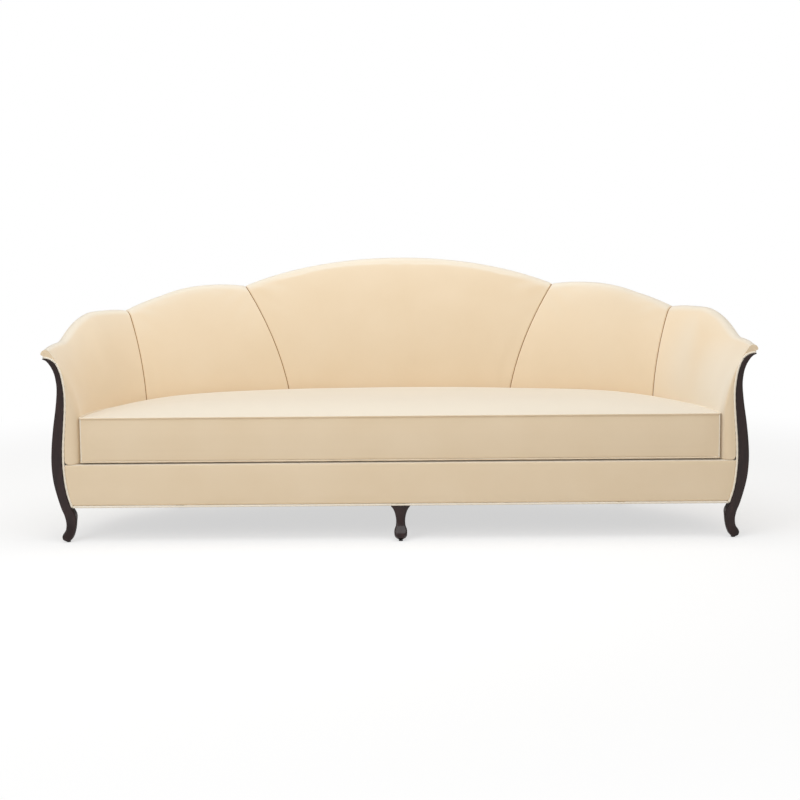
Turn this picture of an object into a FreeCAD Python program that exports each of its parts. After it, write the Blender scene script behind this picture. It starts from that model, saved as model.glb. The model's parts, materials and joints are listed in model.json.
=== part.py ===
"""Camelback sofa: a five-panel fan back that wraps round a bench seat, with carved show-wood fronts.

All sizes are in millimetres. X runs across the sofa, Y from front to back and Z up, and left and
right are as seen from the front. The sofa is drawn with the front of its seat border at y = 0, and
is moved at the end so that the origin lies on the floor under the middle of its overall depth.

Most of the back is drawn in upright sections along the seat line, the curve where the cushion meets
the back: s is the distance along that curve from its middle, p the distance outward from it.
"""
import FreeCAD, Part
import math
import os

Vector = FreeCAD.Vector

# Plan of the seat line
seat_half_width = 1075.0
seat_depth = 600.0
corner_radius = 440.0
arm_run = 40.0
seat_level = 415.0

# Where the two seams of each side cross seat level, measured from the centre line
inner_seam_x = 406.0
outer_seam_x = 906.0

# Top outline of the back, as heights above the floor. The two seams lie below the middle panel's peak
crest_centre = 916.0
crest_middle_peak = 827.0
inner_seam_drop = 8.0
outer_seam_drop = 84.0
crest_wing_peak = 747.0
crest_throat = 658.0
crest_arm_tip = 651.0

# How far the middle of the top roll lies behind the seat line
roll_back_centre = 160.0
roll_back_inner_seam = 155.0
roll_back_outer_seam = 150.0
roll_back_shoulder = 124.0
roll_back_throat = 104.0
roll_back_tip = 105.0

# Lean of the padded face where it runs into the roll, and the sideways slope of the inner seams
lean_centre = 25.0
lean_outer_seam = 32.0
lean_tip = 38.0
inner_seam_fan = 0.365

# Padding
roll_radius_centre = 45.0
roll_radius_outer_seam = 42.0
roll_radius_throat = 26.0
roll_radius_tip = 16.0
roll_tuck_back = 9.0
roll_tuck_tip = 62.0
roll_tail_back = 26.0
roll_tail_tip = 12.0
pad_depth = 46.0
pad_knee_tip = 505.0
seam_groove = 9.0
nose_set_in = 38.0
cover_thickness = 2.0
cover_play = 0.3
wrap_thickness = 7.0
outside_thickness = 3.0
outside_bottom_back = 84.0
outside_bulge = 6.0
outside_inset = 1.5

# Timber frame
joint_gap = 0.3
rail_bottom = 126.0
rail_height = 104.0
rail_thickness = 30.0
post_half_width = 16.0
post_thickness = 26.0
post_head_drop = 1.0
arm_post_depth = 30.0
arm_post_set_in = 8.0
crest_rail_height = 46.0
crest_rail_height_tip = 20.0
crest_rail_thickness = 24.0
crest_rail_thickness_tip = 13.0
tack_rail_bottom = 252.0
tack_rail_height = 42.0
tack_rail_thickness = 18.0
tack_rail_set_back = 1.4
web_room = 3.0
web_thickness = 1.1
web_width = 40.0
web_lap = 12.0
stretcher_x = 380.0
stretcher_width = 32.0
stretcher_height = 56.0
corner_block_length = 118.0
corner_block_depth = 82.0
block_bottom = 148.0
block_height = 64.0
splice_half_length = 70.0

# Seat
deck_top = 262.0
deck_pad_thickness = 7.7
deck_set_in = 2.0
insulator_thickness = 3.0
insulator_reach = 24.0
front_pad_thickness = 12.0
front_lip = 100.0
edge_roll_depth = 28.0
edge_roll_set_in = 8.0
border_end_set_in = 4.0
border_bottom = 122.0
spring_wire_radius = 1.9
spring_play = 0.2
clip_ring_radius = 3.8
spring_bar_half = 14.0
spring_pitch = 30.0
spring_spacing = 215.0
springs_each_side = 4
clip_thickness = 1.5
clip_half_width = 12.0
clip_drop = 32.0
clip_weld = 0.2

# Loose seat cushion
cushion_gap = 3.0
cushion_front = 8.0
cushion_lift = 0.5
cushion_edge_bottom = 269.0
cushion_edge_top = 417.0
cushion_crown = 29.0
cushion_corner = 20.0
cushion_wrap_thickness = 12.0
cushion_seam_draw = 6.0
zip_width = 7.0
zip_depth = 1.2
zip_half_turn = 9.0

# Welts, glides, legs and fixings
welt_radius = 3.5
cushion_welt_radius = 2.5
glide_radius = 7.0
glide_height = 3.5
glide_pin_radius = 1.4
glide_pin_length = 14.0
front_glide_out = 46.0
front_glide_y = 1.0
stile_front = -4.0
stile_back = 41.0
leg_edge = 3.0
rear_leg_top_size = 40.0
rear_leg_foot_size = 28.0
rear_leg_rake = 62.0
rear_leg_knee = 18.0
rear_leg_set_in = 140.0
rear_leg_set_out = 60.0
centre_leg_block_half = 28.0
centre_bolt_y = 24.0
bolt_radius = 4.0
bolt_bottom = 94.0
bolt_top = 165.0
nut_barrel_radius = 5.4
nut_barrel_length = 12.0
nut_flange_radius = 10.5
nut_flange_thickness = 1.6
dowel_radius = 5.0
dowel_in_rail = 26.0
dowel_in_leg = 20.0
dowel_heights = (160.0, 202.0)
screw_radius = 2.4
screw_length = 58.0
screw_head_radius = 4.6
screw_head_height = 3.0
arm_screw_places = ((71.0, 290.0), (67.0, 375.0))
front_block_screw = (45.0, 34.0, 20.0)
side_block_screw = (40.0, 30.0, 47.0)
fixing_play = 0.2
dust_cover_thickness = 1.0
dust_cover_lap = 3.0
dust_cover_corner = 6.0
dust_cover_leg_hole = 30.0

# Front leg and stile, from the floor up: inner edge and its height, outer edge and its height, both
# measured sideways from the end of the seat line, and for the foot also front y and back y
foot_stations = [
    (51.0, 2.0, 63.0, 9.0, -13.0, 10.0),
    (42.0, 1.0, 64.5, 19.0, -16.0, 16.0),
    (33.0, 9.0, 61.0, 29.0, -14.0, 20.0),
    (26.5, 24.0, 54.5, 38.0, -10.0, 24.0),
    (22.0, 44.0, 52.0, 50.0, -6.0, 28.0),
    (20.0, 66.0, 52.5, 68.0, -4.0, 31.0),
    (20.0, 90.0, 58.0, 91.0, -4.0, 36.0),
    (20.5, 114.5, 67.5, 114.5, -4.0, 41.0),
]
stile_edges = [
    (33.5, 114.5, 67.5, 114.5),
    (47.5, 160.0, 81.0, 160.0),
    (55.5, 208.0, 91.5, 208.0),
    (59.5, 265.0, 96.0, 265.0),
    (58.5, 325.0, 93.5, 325.0),
    (53.5, 390.0, 86.3, 390.0),
    (49.0, 450.0, 77.3, 450.0),
    (48.2, 495.0, 72.0, 497.0),
    (51.5, 531.0, 71.0, 527.0),
    (55.5, 556.0, 73.4, 549.0),
    (60.5, 575.0, 76.8, 567.0),
    (68.0, 594.0, 83.5, 585.0),
    (75.5, 606.0, 90.5, 597.5),
    (85.0, 614.5, 98.0, 608.0),
    (98.5, 620.5, 106.0, 615.5),
    (114.0, 622.5, 116.0, 620.0),
]

# Centre front leg, from the floor up: front edge y and z, back edge y and z, half width
centre_leg_stations = [
    (-38.0, 13.0, -18.0, -1.0, 9.0),
    (-35.0, 26.0, -7.0, 9.0, 20.0),
    (-22.0, 39.0, 6.0, 25.0, 21.5),
    (-11.0, 51.0, 14.0, 43.0, 16.5),
    (-6.0, 66.0, 21.0, 62.0, 15.3),
    (-4.0, 86.0, 29.0, 84.0, 18.5),
    (-3.5, 102.0, 38.0, 101.0, 24.5),
    (-3.5, 114.0, 46.0, 114.0, 33.5),
]

# Share of the crown's rise, and how far its outline has drawn in at the sides, front, back and corners
crown_stations = [
    (0.0, 0.0, 0.0, 0.0, 0.0),
    (0.48, 175.0, 38.0, 8.0, 46.0),
    (0.8, 290.0, 105.0, 22.0, 111.0),
    (1.0, 410.0, 215.0, 60.0, 216.0),
]
underside_stations = [
    (0.0, 0.0, 0.0, 0.0, 0.0),
    (1.0, 90.0, 60.0, 40.0, 60.0),
]

# The seat line is one wide arc between two corner arcs, then a short straight run to the front
corner_x = seat_half_width - corner_radius
across = seat_depth - corner_radius
back_centre_y = (across ** 2 - corner_x ** 2 - arm_run ** 2) / (2 * (across - arm_run))
back_radius = seat_depth - back_centre_y
turn = math.atan2(corner_x, arm_run - back_centre_y)
back_length = back_radius * turn
corner_length = corner_radius * (math.pi / 2 - turn)
arm_end = back_length + corner_length + arm_run
nose_start = arm_end - stile_back - joint_gap
inner_seam = back_radius * math.asin(inner_seam_x / back_radius)
outer_seam = back_length + corner_radius * (math.asin((outer_seam_x - corner_x) / corner_radius) - turn)
crest_inner_seam = crest_middle_peak - inner_seam_drop
crest_outer_seam = crest_middle_peak - outer_seam_drop
rail_top = rail_bottom + rail_height
frame_p = pad_depth + web_room
rail_front_y = front_pad_thickness + joint_gap
rail_rear_y = rail_front_y + rail_thickness
welt_room = 2 * welt_radius + 2 * joint_gap
cover_step = cover_thickness + cover_play

# Reach of the sofa in front of and behind the seat rail's face
front_reach = -centre_leg_stations[0][0]
rear_reach = seat_depth + roll_back_centre + roll_radius_centre
middle_y = (rear_reach - front_reach) / 2

# Farther out than any piece, for the ends of cuts
past_all = seat_half_width + rear_reach


def smooth(t):
    """Eases from 0 to 1 as t goes from 0 to 1."""
    t = min(1.0, max(0.0, t))
    return t * t * (3 - 2 * t)


def between(s, knots):
    """A value that passes smoothly through (place, value) knots along the back."""
    s = abs(s)
    if s <= knots[0][0]:
        return knots[0][1]
    for (s0, v0), (s1, v1) in zip(knots, knots[1:]):
        if s <= s1:
            return v0 + (v1 - v0) * smooth((s - s0) / (s1 - s0))
    return knots[-1][1]


def arm_share(s):
    """0 at the outer seam and 1 at the front end of the arm."""
    return (abs(s) - outer_seam) / (arm_end - outer_seam)


def arm_place(share):
    """The place along the seat line at a share of the arm."""
    return outer_seam + share * (arm_end - outer_seam)


def plan_frame(s):
    """Base point, outward normal and tangent of the seat line at place s."""
    side = -1.0 if s < 0 else 1.0
    s = abs(s)
    if s <= back_length:
        angle = s / back_radius
        base = Vector(back_radius * math.sin(angle), back_centre_y + back_radius * math.cos(angle), 0)
    elif s <= back_length + corner_length:
        angle = turn + (s - back_length) / corner_radius
        reach = Vector(math.sin(angle), math.cos(angle), 0) * corner_radius
        base = Vector(corner_x, arm_run, 0) + reach
    else:
        angle = math.pi / 2
        base = Vector(seat_half_width, arm_run - (s - back_length - corner_length), 0)
    normal = Vector(side * math.sin(angle), math.cos(angle), 0)
    tangent = Vector(math.cos(angle), -side * math.sin(angle), 0)
    return Vector(side * base.x, base.y, 0), normal, tangent


def fan(s):
    """Sideways slope of the section at place s, which spreads the two inner seams like a fan."""
    side = -1.0 if s < 0 else 1.0
    s = abs(s)
    if s <= inner_seam:
        return side * inner_seam_fan * s / inner_seam
    return side * inner_seam_fan * max(0.0, 1 - (s - inner_seam) / (outer_seam - inner_seam))


def at(s, p, z):
    """The point at place s, p outward of the seat line and z above the floor."""
    base, normal, tangent = plan_frame(s)
    return base + normal * p + tangent * (fan(s) * (z - seat_level)) + Vector(0, 0, z)


def crest_height(s):
    s = abs(s)
    if s <= inner_seam:
        return crest_centre - (crest_centre - crest_inner_seam) * (s / inner_seam) ** 2
    if s <= outer_seam:
        w = (s - inner_seam) / (outer_seam - inner_seam)
        peak = 1 / (1 + math.sqrt(outer_seam_drop / inner_seam_drop))
        return crest_middle_peak - outer_seam_drop * ((w - peak) / (1 - peak)) ** 2
    dip = (crest_wing_peak - crest_outer_seam) * max(0.0, 1 - arm_share(s) / 0.12) ** 2
    knots = [(arm_place(0.27), crest_wing_peak), (arm_place(0.7), crest_throat), (arm_end, crest_arm_tip)]
    return between(s, knots) - dip


def roll_back(s):
    return between(s, [
        (0, roll_back_centre), (inner_seam, roll_back_inner_seam), (outer_seam, roll_back_outer_seam),
        (arm_place(0.4), roll_back_shoulder), (arm_place(0.7), roll_back_throat), (arm_end, roll_back_tip)])


def roll_radius(s):
    return between(s, [
        (0, roll_radius_centre), (outer_seam, roll_radius_outer_seam),
        (arm_place(0.7), roll_radius_throat), (arm_end, roll_radius_tip)])


def roll_tuck(s):
    """Angle by which the roll is tucked under on the outside."""
    return math.radians(between(s, [
        (outer_seam, roll_tuck_back), (arm_place(0.5), roll_tuck_back + 13), (nose_start, roll_tuck_tip)]))


def roll_tail(s):
    return between(s, [(outer_seam, roll_tail_back), (nose_start, roll_tail_tip)])


def roll_point(s, out, down):
    """A (p, z) point in the roll's own axes: out from its centre, and down along its tail."""
    tuck = roll_tuck(s)
    p = roll_back(s) + out * math.cos(tuck) - down * math.sin(tuck)
    z = crest_height(s) - roll_radius(s) - out * math.sin(tuck) - down * math.cos(tuck)
    return p, z


def lean(s):
    return math.radians(between(s, [(0, lean_centre), (outer_seam, lean_outer_seam), (arm_end, lean_tip)]))


def knee(s):
    return between(s, [(outer_seam, seat_level), (nose_start, pad_knee_tip)])


def face_set_back(s):
    """How far the padded face lies behind the seat line, in the seam grooves and round the arm's nose."""
    s = abs(s)
    if s <= inner_seam:
        off_middle = s / inner_seam
    elif s <= outer_seam:
        off_middle = abs(2 * (s - inner_seam) / (outer_seam - inner_seam) - 1)
    else:
        off_middle = max(0.0, 1 - 2 * arm_share(s))
    round_nose = min(1.0, max(0.0, (s - nose_start) / (arm_end - nose_start)))
    return seam_groove * off_middle ** 6 + nose_set_in * (1 - math.sqrt(1 - round_nose ** 2))


def crest_rail_depth(s):
    return between(s, [(outer_seam, crest_rail_thickness), (nose_start, crest_rail_thickness_tip)])


def crest_rail_corners(s):
    """Corners of the crest rail's section: lower inner, upper inner, upper outer, lower outer."""
    thickness = crest_rail_depth(s)
    height = between(s, [(outer_seam, crest_rail_height), (nose_start, crest_rail_height_tip)])
    outer = roll_radius(s) - wrap_thickness - joint_gap
    top = -roll_radius(s) / 4
    return [
        roll_point(s, outer - thickness, top + height), roll_point(s, outer - thickness, top),
        roll_point(s, outer, top), roll_point(s, outer, top + height)]


def shifted(path, distance):
    """A (p, z) or (x, z) path moved sideways by a distance, to the right of its direction."""
    normals = []
    for (x0, z0), (x1, z1) in zip(path, path[1:]):
        length = math.hypot(x1 - x0, z1 - z0)
        normals.append(((z1 - z0) / length, -(x1 - x0) / length))
    moved = []
    for i, (x, z) in enumerate(path):
        ax, az = normals[max(0, i - 1)]
        bx, bz = normals[min(i, len(normals) - 1)]
        scale = distance / (1 + ax * bx + az * bz)
        moved.append((x + (ax + bx) * scale, z + (az + bz) * scale))
    return moved


def clipped(path, low, high):
    """The part of a rising path between two heights."""
    kept = []
    for (x0, z0), (x1, z1) in zip(path, path[1:]):
        if z1 <= low or z0 >= high:
            continue
        start = max(0.0, (low - z0) / (z1 - z0))
        end = min(1.0, (high - z0) / (z1 - z0))
        if not kept:
            kept.append((x0 + (x1 - x0) * start, z0 + (z1 - z0) * start))
        kept.append((x0 + (x1 - x0) * end, z0 + (z1 - z0) * end))
    return kept


def across_at(path, height):
    """How far across a rising path is at a height, or at its top end if that is lower."""
    height = min(height, path[-1][1])
    return clipped(path, height - 0.5, height)[-1][0]


stile_inner = [(seat_half_width + row[0], row[1]) for row in stile_edges]
stile_outer = [(seat_half_width + row[2], row[3]) for row in stile_edges]


def frame_line(s, low):
    """The front of the timber behind the padding, from a height up to the top of the crest rail."""
    inner_low, inner_high = crest_rail_corners(s)[:2]
    return [(frame_p, low), (frame_p, knee(s)), inner_low, inner_high]


def outside_line(s, low):
    """The outside of the covered back or arm, from the bottom up to the tail of the roll."""
    top_p, top_z = roll_point(s, roll_radius(s), roll_tail(s) + joint_gap)
    front_weight = smooth((arm_share(s) - 0.15) / 0.75)
    line_out = []
    for share in (0.0, 0.3, 0.58, 0.78, 0.88, 0.95):
        z = low + share * (top_z - low)
        behind = outside_bottom_back + (top_p - outside_bottom_back) * share
        behind += outside_bulge * 4 * share * (1 - share)
        beside = across_at(stile_outer, z) - seat_half_width - outside_inset
        line_out.append((behind + (beside - behind) * front_weight, z))
    return line_out + [(top_p, top_z)]


def line(a, b):
    return Part.LineSegment(a, b).toShape()


def arc(a, b, c):
    return Part.Arc(a, b, c).toShape()


def closed(points):
    return Part.Wire([line(a, b) for a, b in zip(points, points[1:] + points[:1])])


def loft(wires, ruled=False):
    return Part.makeLoft(wires, True, ruled, False, 3)


def prism(points, move):
    return Part.Face(closed(points)).extrude(move)


def box(x0, x1, y0, y1, z0, z1):
    return Part.makeBox(x1 - x0, y1 - y0, z1 - z0, Vector(x0, y0, z0))


def rod(start, direction, length, radius):
    return Part.makeCylinder(radius, length, start, direction)


def mirrored(shape):
    return shape.mirror(Vector(0, 0, 0), Vector(1, 0, 0))


def both(shape):
    return [shape, mirrored(shape)]


def together(shapes):
    return Part.makeCompound(shapes)


def joined(shapes):
    whole = shapes[0].fuse(shapes[1:])
    return whole.Solids[0]


def spread(start, end, shares):
    return [start + (end - start) * share for share in shares]


def plate(s, corners, half_width):
    """A flat piece whose outline is drawn in the section at place s."""
    base, normal, tangent = plan_frame(s)
    upward = Vector(0, 0, 1) + tangent * fan(s)
    sideways = normal.cross(upward).normalize()
    points = [at(s, p, z) - sideways * half_width for p, z in corners]
    return prism(points, sideways * (2 * half_width))


def plan_edges(start, end, p):
    """The seat line from one place to another, moved outward by p, as lines and arcs."""
    bends = [-back_length - corner_length, -back_length, back_length, back_length + corner_length]
    stops = [start] + [bend for bend in bends if start + 0.01 < bend < end - 0.01] + [end]
    edges = []
    for s0, s1 in zip(stops, stops[1:]):
        ends = []
        for s in (s0, (s0 + s1) / 2, s1):
            base, normal, tangent = plan_frame(s)
            ends.append(base + normal * p)
        straight = abs(s0 + s1) / 2 > back_length + corner_length
        edges.append(line(ends[0], ends[2]) if straight else arc(*ends))
    return edges


def plan_strip(start, end, p_in, p_out, low, height):
    """An upright curved board along the seat line."""
    inner = plan_edges(start, end, p_in)
    outer = plan_edges(start, end, p_out)
    first = line(inner[0].firstVertex().Point, outer[0].firstVertex().Point)
    last = line(inner[-1].lastVertex().Point, outer[-1].lastVertex().Point)
    face = Part.Face(Part.Wire(Part.__sortEdges__(inner + outer + [first, last])))
    face.translate(Vector(0, 0, low))
    return face.extrude(Vector(0, 0, height))


def seat_area(p, front, low, height):
    """A flat layer that fills the seat inside the seat line moved out by p, behind a front edge."""
    edges = plan_edges(-arm_end, arm_end, p)
    closing = line(edges[0].firstVertex().Point, edges[-1].lastVertex().Point)
    face = Part.Face(Part.Wire(Part.__sortEdges__(edges + [closing])))
    face.translate(Vector(0, 0, low))
    layer = face.extrude(Vector(0, 0, height))
    return layer.cut(box(-past_all, past_all, -past_all, front, low - 1, low + height + 1))


def inner_face_y(x, p):
    """How far back the seat line moved out by p lies at a distance x from the centre line."""
    if x <= (back_radius + p) * math.sin(turn):
        return back_centre_y + math.sqrt((back_radius + p) ** 2 - x ** 2)
    return arm_run + math.sqrt((corner_radius + p) ** 2 - (x - corner_x) ** 2)


def pad_section(s, inset=0.0):
    """Outline of the padding at place s, drawn in from its skin by an inset."""
    skin = roll_radius(s) - inset
    centre_p, centre_z = roll_point(s, 0, 0)
    slope = lean(s)
    face_p = face_set_back(s) + inset
    end_p = centre_p - skin * math.cos(slope)
    end_z = centre_z + skin * math.sin(slope)
    bend_radius = (end_p - face_p) / (1 - math.cos(slope))
    bend_z = end_z - (end_p - face_p) / math.tan(slope / 2)
    bend_back = bend_radius * (1 - math.cos(slope / 2))
    bend_middle = (face_p + bend_back, bend_z + bend_radius * math.sin(slope / 2))
    over = (math.pi - slope + math.pi / 2) / 2
    over_middle = (centre_p + skin * math.cos(over), centre_z + skin * math.sin(over))
    bottom = deck_top + joint_gap + inset
    beside_stile = abs(s) > nose_start + 0.001
    tuck = 0.0 if beside_stile else roll_tuck(s)
    down = (math.pi / 2 - tuck) / 2
    down_middle = (centre_p + skin * math.cos(down), centre_z + skin * math.sin(down))
    down_end = (centre_p + skin * math.cos(tuck), centre_z - skin * math.sin(tuck))

    def pt(pair):
        return at(s, pair[0], pair[1])

    edges = [
        line(pt((face_p, bottom)), pt((face_p, bend_z))),
        arc(pt((face_p, bend_z)), pt(bend_middle), pt((end_p, end_z))),
        arc(pt((end_p, end_z)), pt(over_middle), pt((centre_p, centre_z + skin))),
        arc(pt((centre_p, centre_z + skin)), pt(down_middle), pt(down_end)),
    ]
    if beside_stile:
        side = [(x - seat_half_width, z) for x, z in shifted(stile_inner, -welt_room - inset)]
        rest = [down_end] + clipped(side, bottom, 700.0)[::-1] + [(face_p, bottom)]
    else:
        inner_low, inner_high = shifted(frame_line(s, bottom), -web_room - inset)[2:]
        tail = roll_tail(s) - inset
        over_rail = -roll_radius(s) / 4 - joint_gap - inset
        rail_outer = roll_radius(s) - wrap_thickness + inset
        rail_inner = rail_outer - joint_gap - web_room - 2 * inset
        rail_inner -= crest_rail_depth(s)
        rest = [
            down_end, roll_point(s, skin, tail), roll_point(s, rail_outer, tail),
            roll_point(s, rail_outer, over_rail), roll_point(s, rail_inner, over_rail),
            inner_low, shifted(frame_line(s, bottom), -web_room - inset)[1],
            (pad_depth - inset, bottom), (face_p, bottom)]
    points = [pt(pair) for pair in rest]
    edges += [line(a, b) for a, b in zip(points, points[1:])]
    return Part.Wire(edges)


channel_shares = [0.0, 0.05, 0.15, 0.32, 0.5, 0.68, 0.85, 0.95, 1.0]
wing_shares = [0.0, 0.04, 0.12, 0.22, 0.36, 0.5, 0.64, 0.78, 0.9, 1.0]
nose_shares = [0.0, 0.3, 0.6, 0.85, 1.0]


def channel(start, end, inset):
    """One back channel between two seams."""
    return loft([pad_section(s, inset) for s in spread(start + inset, end - inset, channel_shares)])


def wing(inset):
    """The padding of the wing and arm, with the nose that wraps round the arm's front."""
    arm = loft([pad_section(s, inset) for s in spread(outer_seam + inset, nose_start, wing_shares)])
    nose_places = spread(nose_start + 0.01, arm_end - inset, nose_shares)
    nose = loft([pad_section(s, inset) for s in nose_places])
    return joined([arm, nose])


def tube(path, radius, y):
    """A round cord along a smooth (x, z) path."""
    curve = Part.BSplineCurve()
    curve.interpolate([Vector(x, y, z) for x, z in path])
    start = curve.value(curve.FirstParameter)
    direction = curve.tangent(curve.FirstParameter)[0]
    ring = Part.Wire(Part.makeCircle(radius, start, direction))
    return Part.Wire(curve.toShape()).makePipeShell([ring], True, False)


def leg_section(inner_out, inner_z, outer_out, outer_z, front, back):
    """Section of the front leg, square to its curve, with its four edges eased."""
    inner = Vector(seat_half_width + inner_out, 0, inner_z)
    width = math.hypot(outer_out - inner_out, outer_z - inner_z)
    way = Vector(outer_out - inner_out, 0, outer_z - inner_z) * (1 / width)
    edge = min(leg_edge, 0.2 * width)
    return closed([
        inner + way * reach + Vector(0, y, 0) for reach, y in [
            (edge, front), (width - edge, front), (width, front + edge), (width, back - edge),
            (width - edge, back), (edge, back), (0, back - edge), (0, front + edge)]])


def stile_leg():
    foot = loft([leg_section(*row) for row in foot_stations])
    foot = foot.cut(box(seat_half_width, past_all, -past_all, past_all, -past_all, glide_height))
    stile = loft([leg_section(*row, stile_front, stile_back) for row in stile_edges])
    leg = joined([foot, stile])
    for z in dowel_heights:
        x = across_at(stile_inner, z)
        start = Vector(x - dowel_in_rail, dowel_y, z)
        depth = dowel_in_rail + dowel_in_leg
        leg = leg.cut(rod(start, Vector(1, 0, 0), depth, dowel_radius + fixing_play))
    for x, y, z, direction in arm_screws:
        leg = leg.cut(screw_bore(Vector(x, y, z), direction))
    return leg.cut(glide_bore(*front_glide))


def screw(head, direction):
    shank = rod(head, direction, screw_length, screw_radius)
    cap = rod(head - direction * screw_head_height, direction, screw_head_height, screw_head_radius)
    return shank.fuse(cap).removeSplitter()


def screw_bore(head, direction):
    shank = rod(head, direction, screw_length + fixing_play, screw_radius + fixing_play)
    mouth = rod(head - direction * 60, direction, 60, screw_head_radius + fixing_play)
    return shank.fuse(mouth)


def glide(x, y):
    disc = rod(Vector(x, y, 0), Vector(0, 0, 1), glide_height - 0.1, glide_radius)
    pin = rod(Vector(x, y, 0), Vector(0, 0, 1), glide_height + glide_pin_length, glide_pin_radius)
    return disc.fuse(pin).removeSplitter()


def glide_bore(x, y):
    return rod(Vector(x, y, 0), Vector(0, 0, 1), glide_height + glide_pin_length + fixing_play,
               glide_pin_radius + fixing_play)


def bolt_bore(x, y):
    return rod(Vector(x, y, bolt_bottom - fixing_play), Vector(0, 0, 1), bolt_top - bolt_bottom + 1,
               bolt_radius + fixing_play)


def nut_bore(x, y):
    barrel = rod(Vector(x, y, rail_bottom - 1), Vector(0, 0, 1), bolt_top - rail_bottom + 2,
                 nut_barrel_radius + fixing_play)
    recess = rod(Vector(x, y, rail_bottom - 1), Vector(0, 0, 1), nut_flange_thickness + 1.2,
                 nut_flange_radius + fixing_play)
    return barrel.fuse(recess)


def nut(x, y):
    start = Vector(x, y, rail_bottom)
    flange = rod(start, Vector(0, 0, 1), nut_flange_thickness, nut_flange_radius)
    barrel = rod(start, Vector(0, 0, 1), nut_barrel_length, nut_barrel_radius)
    return flange.fuse(barrel).removeSplitter().cut(bolt_bore(x, y))


dowel_y = rail_front_y + rail_thickness / 2
front_glide = (seat_half_width + front_glide_out, front_glide_y)
centre_glide = (0.0, -21.0)
screw_y = stile_back + joint_gap + arm_post_depth - screw_head_height
to_front = Vector(0, -1, 0)
arm_screws = [(seat_half_width + out, screw_y, z, to_front) for out, z in arm_screw_places]
deck_low = deck_top - deck_pad_thickness
spring_top = deck_low - joint_gap - insulator_thickness - spring_play
spring_z = spring_top - spring_wire_radius
spring_front_y = rail_rear_y + joint_gap + clip_thickness + clip_ring_radius
block_front_y = rail_rear_y + joint_gap
block_far_y = block_front_y + corner_block_depth
block_x, block_far_x = [
    corner_x + math.sqrt((corner_radius + frame_p) ** 2 - (y - arm_run) ** 2) - joint_gap
    for y in (block_front_y, block_far_y)]
block_screws = [
    (block_x - inward, block_front_y + back, block_bottom + up, direction)
    for (inward, back, up), direction in (
        (front_block_screw, to_front), (side_block_screw, Vector(1, 0, 0)))]
rear_leg_place = outer_seam - rear_leg_set_in


def leg_spot(s):
    """Middle of a rear leg's top, and the direction in which the leg rakes."""
    base, normal, tangent = plan_frame(s)
    return base + normal * rear_leg_set_out, normal


def crest_rail(start, end, shares):
    sections = []
    for s in spread(start, end, shares):
        sections.append(closed([at(s, p, z) for p, z in crest_rail_corners(s)]))
    return loft(sections)


def post(s):
    inner_low, inner_high, outer_high, outer_low = crest_rail_corners(s)
    foot = rail_top - post_half_width
    back = frame_p + post_thickness
    head = [(p, z - post_head_drop) for p, z in (inner_low, outer_low)]
    corners = [(frame_p, foot), (frame_p, knee(s))] + head + [(back, knee(s)), (back, foot)]
    return plate(s, corners, post_half_width).cut(box(-past_all, past_all, 0, past_all, 0, rail_top + joint_gap))


def arm_post():
    s = nose_start - arm_post_depth / 2 + joint_gap
    foot = rail_top + joint_gap
    head = knee(s)
    cover_line = outside_line(s, border_bottom)
    back = clipped(shifted(cover_line, -outside_thickness - arm_post_set_in), foot, head)
    shape = plate(s, [(frame_p, foot), (frame_p, head)] + back[::-1], arm_post_depth / 2)
    for x, y, z, direction in arm_screws:
        shape = shape.cut(screw_bore(Vector(x, y, z), direction))
    return shape


def side_rail():
    sections = []
    for s in spread(outer_seam + joint_gap / 2, arm_end - rail_rear_y - joint_gap, wing_shares):
        base, normal, tangent = plan_frame(s)
        cover_line = outside_line(s, border_bottom)
        low, high = [
            min(frame_p + rail_thickness, across_at(cover_line, z) - outside_thickness - 1)
            for z in (rail_bottom, rail_top)]
        corners = [(frame_p, rail_bottom), (low, rail_bottom), (high, rail_top), (frame_p, rail_top)]
        sections.append(closed([base + normal * p + Vector(0, 0, z) for p, z in corners]))
    rail = loft(sections)
    for x, y, z, direction in block_screws:
        rail = rail.cut(screw_bore(Vector(x, y, z), direction))
    return rail


def front_rail():
    side = clipped(shifted(stile_inner, -joint_gap), rail_bottom, rail_top)
    outline = side + [(-x, z) for x, z in side[::-1]]
    rail = prism([Vector(x, rail_front_y, z) for x, z in outline], Vector(0, rail_thickness, 0))
    for z in dowel_heights:
        x = across_at(stile_inner, z) - dowel_in_rail
        bore = rod(Vector(x, dowel_y, z), Vector(1, 0, 0), 80, dowel_radius + fixing_play)
        rail = rail.cut(both(bore))
    x, y, z, direction = block_screws[0]
    rail = rail.cut(both(screw_bore(Vector(x, y, z), direction)))
    return rail.cut(nut_bore(0, centre_bolt_y))


def corner_block():
    tip_x = block_x - corner_block_length
    outline = [(tip_x, block_front_y), (block_x, block_front_y), (block_far_x, block_far_y)]
    block = prism([Vector(x, y, block_bottom) for x, y in outline], Vector(0, 0, block_height))
    for x, y, z, direction in block_screws:
        block = block.cut(screw_bore(Vector(x, y, z), direction))
    return block


def stretcher():
    x0 = stretcher_x - stretcher_width / 2
    x1 = stretcher_x + stretcher_width / 2
    rear = inner_face_y(x1, frame_p) - joint_gap
    return box(x0, x1, rail_rear_y + joint_gap, rear, rail_bottom, rail_bottom + stretcher_height)


def tack_rail(start, end):
    inner = frame_p + tack_rail_set_back
    return plan_strip(start, end, inner, inner + tack_rail_thickness, tack_rail_bottom, tack_rail_height)


def strap_section(s):
    path = frame_line(s, tack_rail_bottom + web_lap)
    lower, upper = path[2], path[3]
    path[3] = ((lower[0] + upper[0]) / 2, (lower[1] + upper[1]) / 2)
    near = shifted(path, -2 * joint_gap)
    far = shifted(path, -2 * joint_gap - web_thickness)
    return closed([at(s, p, z) for p, z in near + far[::-1]])


def strap(s):
    """A band of back webbing, from the tack rail up to the front of the crest rail."""
    return loft([strap_section(s + web_width * share) for share in (-0.5, 0.0, 0.5)], True)


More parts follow.
